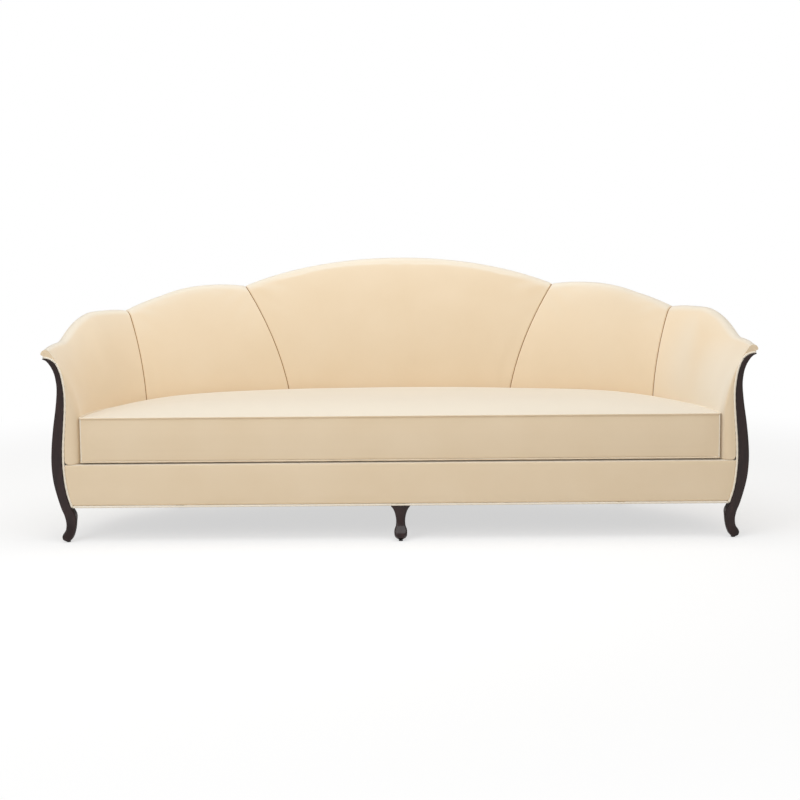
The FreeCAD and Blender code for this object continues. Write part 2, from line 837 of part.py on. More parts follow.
def spring(x):
    """A sinuous spring from the front rail to the rear rail."""
    rear_y = inner_face_y(x + clip_half_width, frame_p) - joint_gap - clip_thickness - clip_ring_radius
    loops = round((rear_y - spring_front_y) / spring_pitch)
    radius = (rear_y - spring_front_y) / loops / 2
    edges = []
    for i in range(loops + 1):
        y = spring_front_y + 2 * radius * i
        way = 1 if i % 2 == 0 else -1
        near = Vector(x - way * spring_bar_half, y, spring_z)
        far = Vector(x + way * spring_bar_half, y, spring_z)
        edges.append(line(near, far))
        if i < loops:
            outmost = far + Vector(way * radius, radius, 0)
            edges.append(arc(far, outmost, far + Vector(0, 2 * radius, 0)))
    ring = Part.Wire(Part.makeCircle(spring_wire_radius, edges[0].firstVertex().Point, Vector(1, 0, 0)))
    return Part.Wire(edges).makePipeShell([ring], True, False)


def clip(x, face_y, way):
    """A spring clip: a plate on the rail's face with a rolled eye for the end bar of the spring."""
    plate_y = face_y + way * clip_thickness
    axis_y = plate_y + way * clip_ring_radius
    low, high = min(face_y, plate_y), max(face_y, plate_y)
    leaf = box(x - clip_half_width, x + clip_half_width, low, high, spring_z - clip_drop, spring_z)
    start = Vector(x - clip_half_width, axis_y, spring_z)
    eye = rod(start, Vector(1, 0, 0), 2 * clip_half_width, clip_ring_radius + clip_weld)
    hole = rod(start, Vector(1, 0, 0), 2 * clip_half_width, spring_wire_radius + spring_play)
    return leaf.fuse(eye).cut(hole)


def outside_section(s):
    outer = outside_line(s, border_bottom)
    inner = shifted(outer, -outside_thickness)
    inner[0] = (inner[0][0], border_bottom)
    a, b = [[at(s, p, z) for p, z in path] for path in (outer, inner)]
    return Part.Wire([
        arc(a[0], a[1], a[2]), arc(a[2], a[3], a[4]), line(a[4], b[4]),
        arc(b[4], b[3], b[2]), arc(b[2], b[1], b[0]), line(b[0], a[0])])


def outside_panel(start, end, shares):
    return loft([outside_section(s) for s in spread(start, end, shares)])


def outside_back():
    middle = outside_panel(inner_seam, outer_seam - joint_gap / 2, channel_shares)
    centre = outside_panel(-inner_seam, inner_seam, channel_shares)
    return joined([centre, middle, mirrored(middle)])


def front_border():
    side = clipped(shifted(stile_inner, -welt_room), border_bottom, deck_top)
    outline = side + [(-x, z) for x, z in side[::-1]]
    face = prism([Vector(x, 0, z) for x, z in outline], Vector(0, front_pad_thickness, 0))
    lip = seat_area(-joint_gap, front_pad_thickness - 1, deck_low, deck_pad_thickness)
    lip = lip.common(box(-1200, 1200, 0, front_lip, deck_low, deck_top))
    reach = side[-1][0] - border_end_set_in
    ends = box(-reach, reach, front_pad_thickness - 1, stile_back, deck_low, deck_top)
    return joined([face, lip, ends]).removeSplitter()


def edge_roll():
    x = across_at(stile_inner, rail_top) - edge_roll_set_in
    rear = rail_front_y + edge_roll_depth
    return box(-x, x, rail_front_y, rear, rail_top + joint_gap, deck_low - joint_gap)


def rear_leg(s):
    top, out = leg_spot(s)
    side = Vector(-out.y, out.x, 0)
    levels = [
        (rail_bottom - joint_gap, 0.0, rear_leg_top_size),
        (0.5 * rail_bottom, rear_leg_knee, (rear_leg_top_size + rear_leg_foot_size) / 2),
        (glide_height, rear_leg_rake, rear_leg_foot_size)]
    sections = []
    for z, rake, size in levels:
        middle = Vector(top.x, top.y, z) + out * rake
        sections.append(closed([
            middle + out * (i * size / 2) + side * (j * size / 2)
            for i, j in ((-1, -1), (1, -1), (1, 1), (-1, 1))]))
    foot = Vector(top.x, top.y, 0) + out * rear_leg_rake
    return loft(sections).cut(bolt_bore(top.x, top.y)).cut(glide_bore(foot.x, foot.y))


def centre_leg():
    sections = []
    for front_y, front_z, back_y, back_z, half in centre_leg_stations:
        edge = 0.24 * half
        slope = (back_z - front_z) / (back_y - front_y)
        points = []
        for x, y in [
                (half - edge, front_y), (half, front_y + edge),
                (half, back_y - edge), (half - edge, back_y),
                (edge - half, back_y), (-half, back_y - edge),
                (-half, front_y + edge), (edge - half, front_y)]:
            points.append(Vector(x, y, front_z + slope * (y - front_y)))
        sections.append(closed(points))
    top = centre_leg_stations[-1]
    leg = loft(sections).cut(box(-60, 60, -80, 80, -60, glide_height))
    block = box(-centre_leg_block_half, centre_leg_block_half, rail_front_y + 1, top[2], top[1] - 1,
                rail_bottom - joint_gap)
    return joined([leg, block]).cut(bolt_bore(0, centre_bolt_y)).cut(glide_bore(*centre_glide))


def dust_cover():
    low = rail_bottom - joint_gap - dust_cover_thickness
    sheet = seat_area(frame_p + dust_cover_lap, rail_front_y, low, dust_cover_thickness)
    corner_side = across_at(stile_inner, rail_bottom) - dust_cover_corner
    corner = box(corner_side, past_all, -past_all, stile_back + 2, low - 1, low + 3)
    sheet = sheet.cut(both(corner))
    half = centre_leg_block_half + 1
    sheet = sheet.cut(box(-half, half, 0, centre_leg_stations[-1][2] + 1, low - 1, low + 3))
    for spot, out in leg_spots:
        sheet = sheet.cut(rod(Vector(spot.x, spot.y, low - 1), Vector(0, 0, 1), 4, dust_cover_leg_hole))
    return sheet


def bench_outline(half, front, back, radius, z):
    """The cushion's plan: square front corners with a small round, and a three-centred back."""
    start = max(arm_run, front + cushion_corner + 2)
    centre_x = half - radius
    reach = back - radius
    centre_y = (reach ** 2 - centre_x ** 2 - start ** 2) / (2 * (reach - start))
    sweep = math.atan2(centre_x, start - centre_y)
    middle = (math.pi / 2 + sweep) / 2
    eased = cushion_corner * (1 - math.sqrt(0.5))
    right = [
        (half - cushion_corner, front), (half - eased, front + eased), (half, front + cushion_corner),
        (half, start), (centre_x + radius * math.sin(middle), start + radius * math.cos(middle)),
        (centre_x + radius * math.sin(sweep), start + radius * math.cos(sweep))]
    r = [Vector(x, y, z) for x, y in right]
    m = [Vector(-x, y, z) for x, y in right]
    return Part.Wire([
        line(m[0], r[0]), arc(r[0], r[1], r[2]), line(r[2], r[3]), arc(r[3], r[4], r[5]),
        arc(r[5], Vector(0, back, z), m[5]),
        arc(m[5], m[4], m[3]), line(m[3], m[2]), arc(m[2], m[1], m[0])])


def cushion_ring(z, draw, side=0.0, front=0.0, back=0.0, corner=0.0):
    half = seat_half_width - cushion_gap - draw - side
    rear = seat_depth - cushion_gap - draw - back
    radius = corner_radius - cushion_gap - draw - corner
    return bench_outline(half, cushion_front + draw + front, rear, radius, z)


def cushion_body(inset):
    """The cushion's boxing, crowned top and slack underside, drawn in from its skin by an inset."""
    drawn = cushion_seam_draw + inset
    low = cushion_edge_bottom + inset
    high = cushion_edge_top - inset
    sag = cushion_edge_bottom - deck_top - cushion_lift
    middle = (low + high) / 2
    boxing = loft([cushion_ring(low, drawn), cushion_ring(middle, inset), cushion_ring(high, drawn)])
    crown = loft([
        cushion_ring(high + share * cushion_crown, drawn, *insets) for share, *insets in crown_stations])
    under = loft([
        cushion_ring(low - share * sag, drawn, *insets) for share, *insets in underside_stations], True)
    return joined([boxing, crown, under])


def cushion_welt(z):
    path = cushion_ring(z, cushion_seam_draw - cushion_welt_radius - joint_gap)
    start = path.Edges[0].firstVertex().Point
    ring = Part.Wire(Part.makeCircle(cushion_welt_radius, start, Vector(1, 0, 0)))
    return path.makePipeShell([ring], True, False)


def zip_band(inner, outer, half_turn, half_height):
    """A curved strip on the back of the boxing, measured inward and outward from its surface."""
    rear = cushion_ring(zip_z, 0.0).Edges[4].Curve
    foot = Vector(0, 0, 0)
    up = Vector(0, 0, 1)
    hollow = Part.makeCylinder(rear.Radius - inner, 2 * half_height, foot, up, 2 * half_turn)
    strip = Part.makeCylinder(rear.Radius + outer, 2 * half_height, foot, up, 2 * half_turn).cut(hollow)
    strip.rotate(foot, up, 90 - half_turn)
    strip.translate(Vector(0, rear.Center.y, zip_z - half_height))
    return strip


zip_z = (cushion_edge_bottom + cushion_edge_top) / 2
leg_spots = [leg_spot(s) for s in (-rear_leg_place, 0.0, rear_leg_place)]
parts = {}


def add_pair(name, shape):
    parts[name + "_right"] = shape
    parts[name + "_left"] = mirrored(shape)


# Seat frame
parts["front_seat_rail"] = front_rail()
half_joint = joint_gap / 2
rear_rail = plan_strip(-outer_seam + half_joint, outer_seam - half_joint, frame_p, frame_p + rail_thickness,
                       rail_bottom, rail_height)
for spot, out in leg_spots:
    rear_rail = rear_rail.cut(nut_bore(spot.x, spot.y))
parts["rear_seat_rail"] = rear_rail
add_pair("side_seat_rail", side_rail())
parts["seat_stretchers"] = together(both(stretcher()))
parts["corner_blocks"] = together(both(corner_block()))
splice = plan_strip(outer_seam - splice_half_length, outer_seam + splice_half_length,
                    frame_p - rail_thickness - joint_gap, frame_p - joint_gap, block_bottom, block_height)
parts["splice_blocks"] = together(both(splice))

# Back and arm frame
parts["back_post_centre"] = post(0.0)
parts["back_posts_inner"] = together(both(post(inner_seam)))
parts["back_posts_outer"] = together(both(post(outer_seam)))
parts["arm_posts"] = together(both(arm_post()))
parts["crest_rail_centre"] = crest_rail(-inner_seam, inner_seam - joint_gap, channel_shares)
add_pair("crest_rail", crest_rail(inner_seam, outer_seam - joint_gap, channel_shares))
add_pair("arm_top_rail", crest_rail(outer_seam, nose_start, wing_shares))
back_scale = back_radius / (back_radius + frame_p)
corner_scale = corner_radius / (corner_radius + frame_p)
slant = post_half_width * math.sqrt(1 + inner_seam_fan ** 2) + joint_gap
lean_low = inner_seam_fan * (tack_rail_bottom - seat_level)
lean_high = lean_low + inner_seam_fan * tack_rail_height
before_inner = inner_seam + (lean_low - slant) * back_scale
after_inner = inner_seam + (lean_high + slant) * back_scale
beside_outer = (post_half_width + joint_gap) * corner_scale
arm_post_rear = nose_start + joint_gap - arm_post_depth / 2 * (1 + corner_scale) - 2 * joint_gap
parts["tack_rails_centre"] = together(both(tack_rail(post_half_width + joint_gap, before_inner)))
parts["tack_rails_middle"] = together(both(tack_rail(after_inner, outer_seam - beside_outer)))
parts["tack_rails_arm"] = together(both(tack_rail(outer_seam + beside_outer, arm_post_rear)))

# Show wood and feet
add_pair("stile_leg", stile_leg())
parts["centre_front_leg"] = centre_leg()
parts["rear_leg_centre"] = rear_leg(0.0)
add_pair("rear_leg", rear_leg(rear_leg_place))
feet = [(spot.x + out.x * rear_leg_rake, spot.y + out.y * rear_leg_rake) for spot, out in leg_spots]
feet += [front_glide, (-front_glide[0], front_glide[1]), centre_glide]
parts["foot_glides"] = together([glide(x, y) for x, y in feet])

# Fixings
bolt_places = [(spot.x, spot.y) for spot, out in leg_spots] + [(0.0, centre_bolt_y)]
bolt_length = bolt_top - bolt_bottom
parts["leg_bolts"] = together([
    rod(Vector(x, y, bolt_bottom), Vector(0, 0, 1), bolt_length, bolt_radius) for x, y in bolt_places])
parts["leg_nuts"] = together([nut(x, y) for x, y in bolt_places])
dowels = []
for z in dowel_heights:
    edge_x = across_at(stile_inner, z)
    pin = rod(Vector(edge_x - dowel_in_rail + joint_gap, dowel_y, z), Vector(1, 0, 0),
              dowel_in_rail + dowel_in_leg - 2 * joint_gap, dowel_radius)
    dowels += both(pin)
parts["rail_dowels"] = together(dowels)
screws = []
for x, y, z, direction in arm_screws + block_screws:
    screws += both(screw(Vector(x, y, z), direction))
parts["frame_screws"] = together(screws)

# Seat suspension
spring_places = [spring_spacing * i for i in range(springs_each_side + 1)]
springs = []
clips = []
for x in spring_places:
    rear_face = inner_face_y(x + clip_half_width, frame_p) - joint_gap
    pieces = [spring(x)]
    fittings = [clip(x, rail_rear_y + joint_gap, 1), clip(x, rear_face, -1)]
    springs += pieces + ([mirrored(piece) for piece in pieces] if x else [])
    clips += fittings + ([mirrored(piece) for piece in fittings] if x else [])
parts["seat_springs"] = together(springs)
parts["spring_clips"] = together(clips)
insulator_low = deck_low - joint_gap - insulator_thickness
insulator_front = spring_front_y + 2 * clip_ring_radius
parts["spring_insulator"] = seat_area(insulator_reach, insulator_front, insulator_low, insulator_thickness)
parts["deck_pad"] = seat_area(pad_depth - deck_set_in, front_lip + joint_gap, deck_low, deck_pad_thickness)
parts["edge_roll"] = edge_roll()
parts["front_border"] = front_border()
parts["dust_cover"] = dust_cover()

# Back webbing
strap_places = spread(-inner_seam, inner_seam, channel_shares[5:7])
strap_places += spread(inner_seam, outer_seam, channel_shares[2:7])
strap_places += spread(outer_seam, nose_start, wing_shares[3:8])
straps = []
for s in strap_places:
    straps += both(strap(s))
parts["back_webbing"] = together(straps)

# Padding of the back and arms: a sewn cover over foam in each panel
panels = {
    "centre": lambda inset: channel(-inner_seam, inner_seam, inset),
    "middle": lambda inset: channel(inner_seam + half_joint, outer_seam - half_joint, inset),
    "wing": wing,
}
for name, make in panels.items():
    cover = make(0.0).cut(make(cover_thickness))
    foam = make(cover_step)
    if name == "centre":
        parts["cover_centre"] = cover
        parts["foam_centre"] = foam
    else:
        add_pair("cover_" + name, cover)
        add_pair("foam_" + name, foam)

# Outside covers
parts["outside_back"] = outside_back()
add_pair("outside_arm", outside_panel(outer_seam + joint_gap / 2, nose_start, wing_shares))

# Welts of the frame
welt_z = border_bottom - welt_radius - 0.1
welt_path = clipped(shifted(stile_inner, -welt_room / 2), welt_z, 700.0)
add_pair("stile_welt", tube(welt_path, welt_radius, 0.0))
welt_end = welt_path[0][0] - welt_radius - joint_gap
parts["rail_welt"] = rod(Vector(-welt_end, 0, welt_z), Vector(1, 0, 0), 2 * welt_end, welt_radius)

# Loose seat cushion
cushion_skin = cushion_body(0.0).cut(cushion_body(cover_thickness))
groove_half = zip_width / 2 + joint_gap
parts["cushion_cover"] = cushion_skin.cut(zip_band(zip_depth, 5, zip_half_turn, groove_half))
parts["cushion_wrap"] = cushion_body(cover_step).cut(cushion_body(cover_step + cushion_wrap_thickness))
parts["cushion_core"] = cushion_body(cover_step + cushion_wrap_thickness + cover_play)
parts["cushion_welt_top"] = cushion_welt(cushion_edge_top)
parts["cushion_welt_bottom"] = cushion_welt(cushion_edge_bottom)
zip_tape = zip_band(zip_depth - 0.2, -0.2, zip_half_turn - 0.1, zip_width / 2)
parts["cushion_zip"] = zip_tape

shift = Vector(0, -middle_y, 0)
os.makedirs("parts", exist_ok=True)
for name, shape in parts.items():
    moved = shape.copy()
    moved.translate(shift)
    print(name, moved.isValid(), len(moved.Solids), round(moved.Volume / 1e6, 3))
    moved.exportStep("parts/" + name + ".step")
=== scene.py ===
import json
import math

import bmesh
import bpy
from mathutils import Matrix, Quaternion, Vector, noise

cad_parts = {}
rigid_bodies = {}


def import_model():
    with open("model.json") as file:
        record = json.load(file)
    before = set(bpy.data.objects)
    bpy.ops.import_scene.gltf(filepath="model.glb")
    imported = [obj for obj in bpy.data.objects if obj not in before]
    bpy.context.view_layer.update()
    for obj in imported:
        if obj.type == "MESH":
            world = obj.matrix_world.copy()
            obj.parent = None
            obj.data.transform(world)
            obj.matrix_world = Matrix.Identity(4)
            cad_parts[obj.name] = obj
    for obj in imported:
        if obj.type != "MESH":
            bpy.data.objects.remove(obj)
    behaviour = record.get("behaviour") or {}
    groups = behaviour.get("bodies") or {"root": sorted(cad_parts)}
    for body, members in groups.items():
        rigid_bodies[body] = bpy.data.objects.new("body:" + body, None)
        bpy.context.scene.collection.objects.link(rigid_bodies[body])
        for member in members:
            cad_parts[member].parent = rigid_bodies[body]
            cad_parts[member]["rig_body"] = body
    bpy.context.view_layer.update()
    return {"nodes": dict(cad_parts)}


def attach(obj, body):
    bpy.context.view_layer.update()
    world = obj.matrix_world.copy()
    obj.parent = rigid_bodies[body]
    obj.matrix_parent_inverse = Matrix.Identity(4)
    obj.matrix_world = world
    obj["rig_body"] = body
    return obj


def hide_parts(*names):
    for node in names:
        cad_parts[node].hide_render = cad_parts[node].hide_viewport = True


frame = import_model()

nodes = frame["nodes"]
scene = bpy.context.scene


# plan and profile of the back, in metres, y from the front of the border

seatPlan = {
    "halfWidth": 1.075,
    "depth": 0.600,
    "cornerRadius": 0.440,
    "armRun": 0.040,
    "seatLevel": 0.415,
    "innerSeamX": 0.406,
    "outerSeamX": 0.906,
    "fan": 0.365,
    "seamBow": 0.44,  # 1 makes the two inner seams straight, less bows them towards the middle
    "toMiddle": -0.3835,  # from the front of the border to the middle of the depth
    "noseRun": 0.0413,  # length of the rounded front of the arm
}

armRun = seatPlan["armRun"]


def sweepPlan(half, rear, radius):
    # x of the corner's centre, then y of the centre, radius and half angle of the broad sweep behind
    x, rise = half - radius, rear - radius
    y = (rise ** 2 - x ** 2 - armRun ** 2) / (2 * (rise - armRun))
    return x, y, rear - y, math.atan2(x, armRun - y)


cornerX, sweepY, sweepRadius, sweepTurn = sweepPlan(
    seatPlan["halfWidth"], seatPlan["depth"], seatPlan["cornerRadius"])
sweepEnd = sweepRadius * sweepTurn
cornerEnd = sweepEnd + seatPlan["cornerRadius"] * (math.pi / 2 - sweepTurn)
armEnd = cornerEnd + armRun
noseStart = armEnd - seatPlan["noseRun"]
innerSeam = sweepRadius * math.asin(seatPlan["innerSeamX"] / sweepRadius)
outerSeam = sweepEnd + seatPlan["cornerRadius"] * (
    math.asin((seatPlan["outerSeamX"] - cornerX) / seatPlan["cornerRadius"]) - sweepTurn)


def clamp(t):
    return min(1.0, max(0.0, t))


def ease(t):
    t = clamp(t)
    return t * t * (3 - 2 * t)


def along(s, knots):
    s = abs(s)
    if s <= knots[0][0]:
        return knots[0][1]
    for (s0, v0), (s1, v1) in zip(knots, knots[1:]):
        if s <= s1:
            return v0 + (v1 - v0) * ease((s - s0) / (s1 - s0))
    return knots[-1][1]


def armShare(s):
    return (abs(s) - outerSeam) / (armEnd - outerSeam)


def armPlace(share):
    return outerSeam + share * (armEnd - outerSeam)


def planFrame(s):
    # base point and outward direction on the seat line
    side = -1.0 if s < 0 else 1.0
    s = abs(s)
    if s <= sweepEnd:
        a = s / sweepRadius
        x, y = sweepRadius * math.sin(a), sweepY + sweepRadius * math.cos(a)
    elif s <= cornerEnd:
        a = sweepTurn + (s - sweepEnd) / seatPlan["cornerRadius"]
        x = cornerX + seatPlan["cornerRadius"] * math.sin(a)
        y = armRun + seatPlan["cornerRadius"] * math.cos(a)
    else:
        a = math.pi / 2
        x, y = seatPlan["halfWidth"], armRun - (s - cornerEnd)
    base = Vector((side * x, y + seatPlan["toMiddle"], 0))
    return base, Vector((side * math.sin(a), math.cos(a), 0)), Vector((math.cos(a), -side * math.sin(a), 0))


def fanSlope(s):
    side = -1.0 if s < 0 else 1.0
    s = abs(s)
    if s <= innerSeam:
        return side * seatPlan["fan"] * s / innerSeam
    return side * seatPlan["fan"] * max(0.0, 1 - (s - innerSeam) / (outerSeam - innerSeam))


def place(s, p, z, bowed=False):
    base, outward, tangent = planFrame(s)
    rise = z - seatPlan["seatLevel"]
    if bowed:
        bow, share = seatPlan["seamBow"], max(0.0, rise / (crest["innerSeam"] - seatPlan["seatLevel"]))
        rise *= bow + (1 - bow) * min(1.0, share)
    return base + outward * p + tangent * (fanSlope(s) * rise) + Vector((0, 0, z))


crest = {
    "centre": 0.9183,
    "innerSeam": 0.819,
    "middlePeak": 0.827,
    "shoulder": 2.3,  # more keeps the middle panels' outer ends fuller
    "outerSeam": 0.743,
    "wingPeak": 0.7495,
    "throat": 0.6615,
    "tip": 0.651,
    "dipEnd": 0.12,  # shares of the way from the outer seam to the arm's end
    "wingPeakAt": 0.27,
    "throatAt": 0.7,
}


def crestHeight(s):
    s = abs(s)
    if s <= innerSeam:
        return crest["centre"] - (crest["centre"] - crest["innerSeam"]) * (s / innerSeam) ** 2
    if s <= outerSeam:
        w = (s - innerSeam) / (outerSeam - innerSeam)
        dropIn = crest["middlePeak"] - crest["innerSeam"]
        dropOut = crest["middlePeak"] - crest["outerSeam"]
        peak = 1 / (1 + math.sqrt(dropOut / dropIn))
        away = (w - peak) / (1 - peak)
        return crest["middlePeak"] - dropOut * (away ** crest["shoulder"] if away > 0 else away ** 2)
    dip = (crest["wingPeak"] - crest["outerSeam"]) * max(0.0, 1 - armShare(s) / crest["dipEnd"]) ** 2
    knots = [(armPlace(crest["wingPeakAt"]), crest["wingPeak"]), (armPlace(crest["throatAt"]), crest["throat"]),
             (armEnd, crest["tip"])]
    return along(s, knots) - dip


def rollBack(s):
    return along(s, [(0, 0.160), (innerSeam, 0.155), (outerSeam, 0.150), (armPlace(0.4), 0.124),
                     (armPlace(0.7), 0.104), (armEnd, 0.105)])


def rollRadius(s):
    return along(s, [(0, 0.045), (outerSeam, 0.042), (armPlace(0.7), 0.026), (armEnd, 0.016)])


def rollTuck(s):
    return math.radians(along(s, [(outerSeam, 9), (armPlace(0.5), 22), (noseStart, 62)]))


def rollTail(s):
    return along(s, [(outerSeam, 0.026), (noseStart, 0.012)])


def rollPoint(s, out, down):
    tuck = rollTuck(s)
    return (rollBack(s) + out * math.cos(tuck) - down * math.sin(tuck),
            crestHeight(s) - rollRadius(s) - out * math.sin(tuck) - down * math.cos(tuck))


def leanAngle(s):
    return math.radians(along(s, [(0, 25), (outerSeam, 32), (armEnd, 38)]))


# inner and outer edge of the show wood: distance past the seat line's end, and height
stileEdges = [
    (0.0335, 0.1145, 0.0675, 0.1145), (0.0475, 0.160, 0.0810, 0.160), (0.0555, 0.208, 0.0915, 0.208),
    (0.0595, 0.265, 0.0960, 0.265), (0.0585, 0.325, 0.0935, 0.325), (0.0535, 0.390, 0.0863, 0.390),
    (0.0490, 0.450, 0.0773, 0.450), (0.0482, 0.495, 0.0720, 0.497), (0.0515, 0.531, 0.0710, 0.527),
    (0.0555, 0.556, 0.0734, 0.549), (0.0605, 0.575, 0.0768, 0.567), (0.0680, 0.594, 0.0835, 0.585),
    (0.0755, 0.606, 0.0905, 0.5975), (0.0850, 0.6145, 0.0980, 0.608), (0.0985, 0.6205, 0.1060, 0.6155),
    (0.1140, 0.6225, 0.1160, 0.620)]
stileInner = [(seatPlan["halfWidth"] + row[0], row[1]) for row in stileEdges]
stileOuter = [(seatPlan["halfWidth"] + row[2], row[3]) for row in stileEdges]


def shiftedPath(path, distance):
    normals = []
    for (x0, z0), (x1, z1) in zip(path, path[1:]):
        length = math.hypot(x1 - x0, z1 - z0)
        normals.append(((z1 - z0) / length, -(x1 - x0) / length))
    moved = []
    for i, (x, z) in enumerate(path):
        ax, az = normals[max(0, i - 1)]
        bx, bz = normals[min(i, len(normals) - 1)]
        scale = distance / (1 + ax * bx + az * bz)
        moved.append((x + (ax + bx) * scale, z + (az + bz) * scale))
    return moved


def clippedPath(path, low, high):
    kept = []
    for (x0, z0), (x1, z1) in zip(path, path[1:]):
        if z1 <= low or z0 >= high:
            continue
        start, end = max(0.0, (low - z0) / (z1 - z0)), min(1.0, (high - z0) / (z1 - z0))
        if not kept:
            kept.append((x0 + (x1 - x0) * start, z0 + (z1 - z0) * start))
        kept.append((x0 + (x1 - x0) * end, z0 + (z1 - z0) * end))
    return kept


def acrossAt(path, height):
    height = min(height, path[-1][1])
    return clippedPath(path, height - 0.0005, height)[-1][0]


def evenly(path, count):
    # the same path with its points spread evenly along it
    lengths = [0.0]
    for a, b in zip(path, path[1:]):
        lengths.append(lengths[-1] + math.dist(a, b))
    spread, j = [], 0
    for i in range(count):
        want = lengths[-1] * i / (count - 1)
        while j < len(lengths) - 2 and lengths[j + 1] < want:
            j += 1
        f = (want - lengths[j]) / max(1e-9, lengths[j + 1] - lengths[j])
        spread.append(tuple(a + (b - a) * f for a, b in zip(path[j], path[j + 1])))
    return spread


def smoothPath(path, count):
    # a soft line through a given path
    points = []
    for i in range(len(path) - 1):
        p0, p1, p2, p3 = path[max(0, i - 1)], path[i], path[i + 1], path[min(len(path) - 1, i + 2)]
        for k in range(8):
            t = k / 8
            points.append(tuple(
                0.5 * (2 * b + (c - a) * t + (2 * a - 5 * b + 4 * c - d) * t * t + (3 * b - a - 3 * c + d) * t ** 3)
                for a, b, c, d in zip(p0, p1, p2, p3)))
    return evenly(points + [path[-1]], count)


# mesh helpers

def makePiece(name, points, faces, material, body="root", smooth=True):
    mesh = bpy.data.meshes.new(name)
    mesh.from_pydata([tuple(p) for p in points], [], faces)
    bm = bmesh.new()
    bm.from_mesh(mesh)
    ends = [face for face in bm.faces if len(face.verts) > 12]
    bmesh.ops.triangulate(bm, faces=ends, ngon_method="EAR_CLIP")
    bmesh.ops.recalc_face_normals(bm, faces=bm.faces)
    bm.to_mesh(mesh)
    bm.free()
    mesh.validate()
    for poly in mesh.polygons:
        poly.use_smooth = smooth
    piece = bpy.data.objects.new(name, mesh)
    scene.collection.objects.link(piece)
    mesh.materials.append(material)
    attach(piece, body)
    return piece


def ringFaces(rings, count, closeEnds=True, loop=True):
    # quads between rings of count points each, with the ends filled
    faces = []
    span = count if loop else count - 1
    for r in range(rings - 1):
        for i in range(span):
            a, b = r * count + i, r * count + (i + 1) % count
            faces.append((a, b, b + count, a + count))
    if closeEnds:
        faces.append(tuple(range(count))[::-1])
        faces.append(tuple((rings - 1) * count + i for i in range(count)))
    return faces


def gridRim(columns, rows):
    # column and row of each point round the edge of a grid
    rim = [(c, 0) for c in range(columns + 1)] + [(columns, row) for row in range(1, rows + 1)]
    return rim + [(c, rows) for c in range(columns - 1, -1, -1)] + [(0, row) for row in range(rows - 1, 0, -1)]


def bridge(low, high):
    # quads between two closed rings of points
    return [(low[i - 1], low[i], high[i], high[i - 1]) for i in list(range(1, len(low))) + [0]]


def subdivide(piece):
    modifier = piece.modifiers.new("smooth", "SUBSURF")
    modifier.levels = modifier.render_levels = 1
    return piece


def rippled(point, size, height):
    return noise.noise(point / size) * height


# materials

def newMaterial(name):
    material = bpy.data.materials.new(name)
    material.use_nodes = True
    return material, material.node_tree, material.node_tree.nodes["Principled BSDF"]


def feed(tree, node, inputs):
    # sockets are linked, plain values are set
    for name, value in inputs.items():
        if isinstance(value, bpy.types.NodeSocket):
            tree.links.new(value, node.inputs[name])
        else:
            node.inputs[name].default_value = value


def addNode(tree, kind, inputs=None, **settings):
    node = tree.nodes.new("ShaderNode" + kind)
    for name, value in settings.items():
        setattr(node, name, value)
    feed(tree, node, inputs or {})
    return node


def linear(r, g, b):
    def channel(c):
        c /= 255
        return c / 12.92 if c <= 0.04045 else ((c + 0.055) / 1.055) ** 2.4
    return channel(r), channel(g), channel(b), 1.0


def paintHighlightOnLitFaces(tree, dyeAndPaintedLight, look):
    # painted highlight: on faces turned up or towards the left the cloth colour is mixed towards a paler colour,
    # standing in for the light that falls there
    shape = addNode(tree, "NewGeometry")
    parts = addNode(tree, "SeparateXYZ", {"Vector": shape.outputs["Normal"]})
    sides = []
    for axis, (start, full) in (("Z", look["paintedHighlightUp"]), ("X", look["paintedHighlightLeft"])):
        facing = addNode(tree, "MapRange", {"From Min": start, "From Max": full, "Value": parts.outputs[axis]},
                         interpolation_type="SMOOTHSTEP")
        sides.append(facing.outputs["Result"])
    most = addNode(tree, "Math", {0: sides[0], 1: sides[1]}, operation="MAXIMUM")
    blend = addNode(tree, "Mix", {"Factor": most.outputs["Value"], "A": dyeAndPaintedLight, "B": look["paintedHighlight"]}, data_type="RGBA")
    return blend.outputs["Result"]


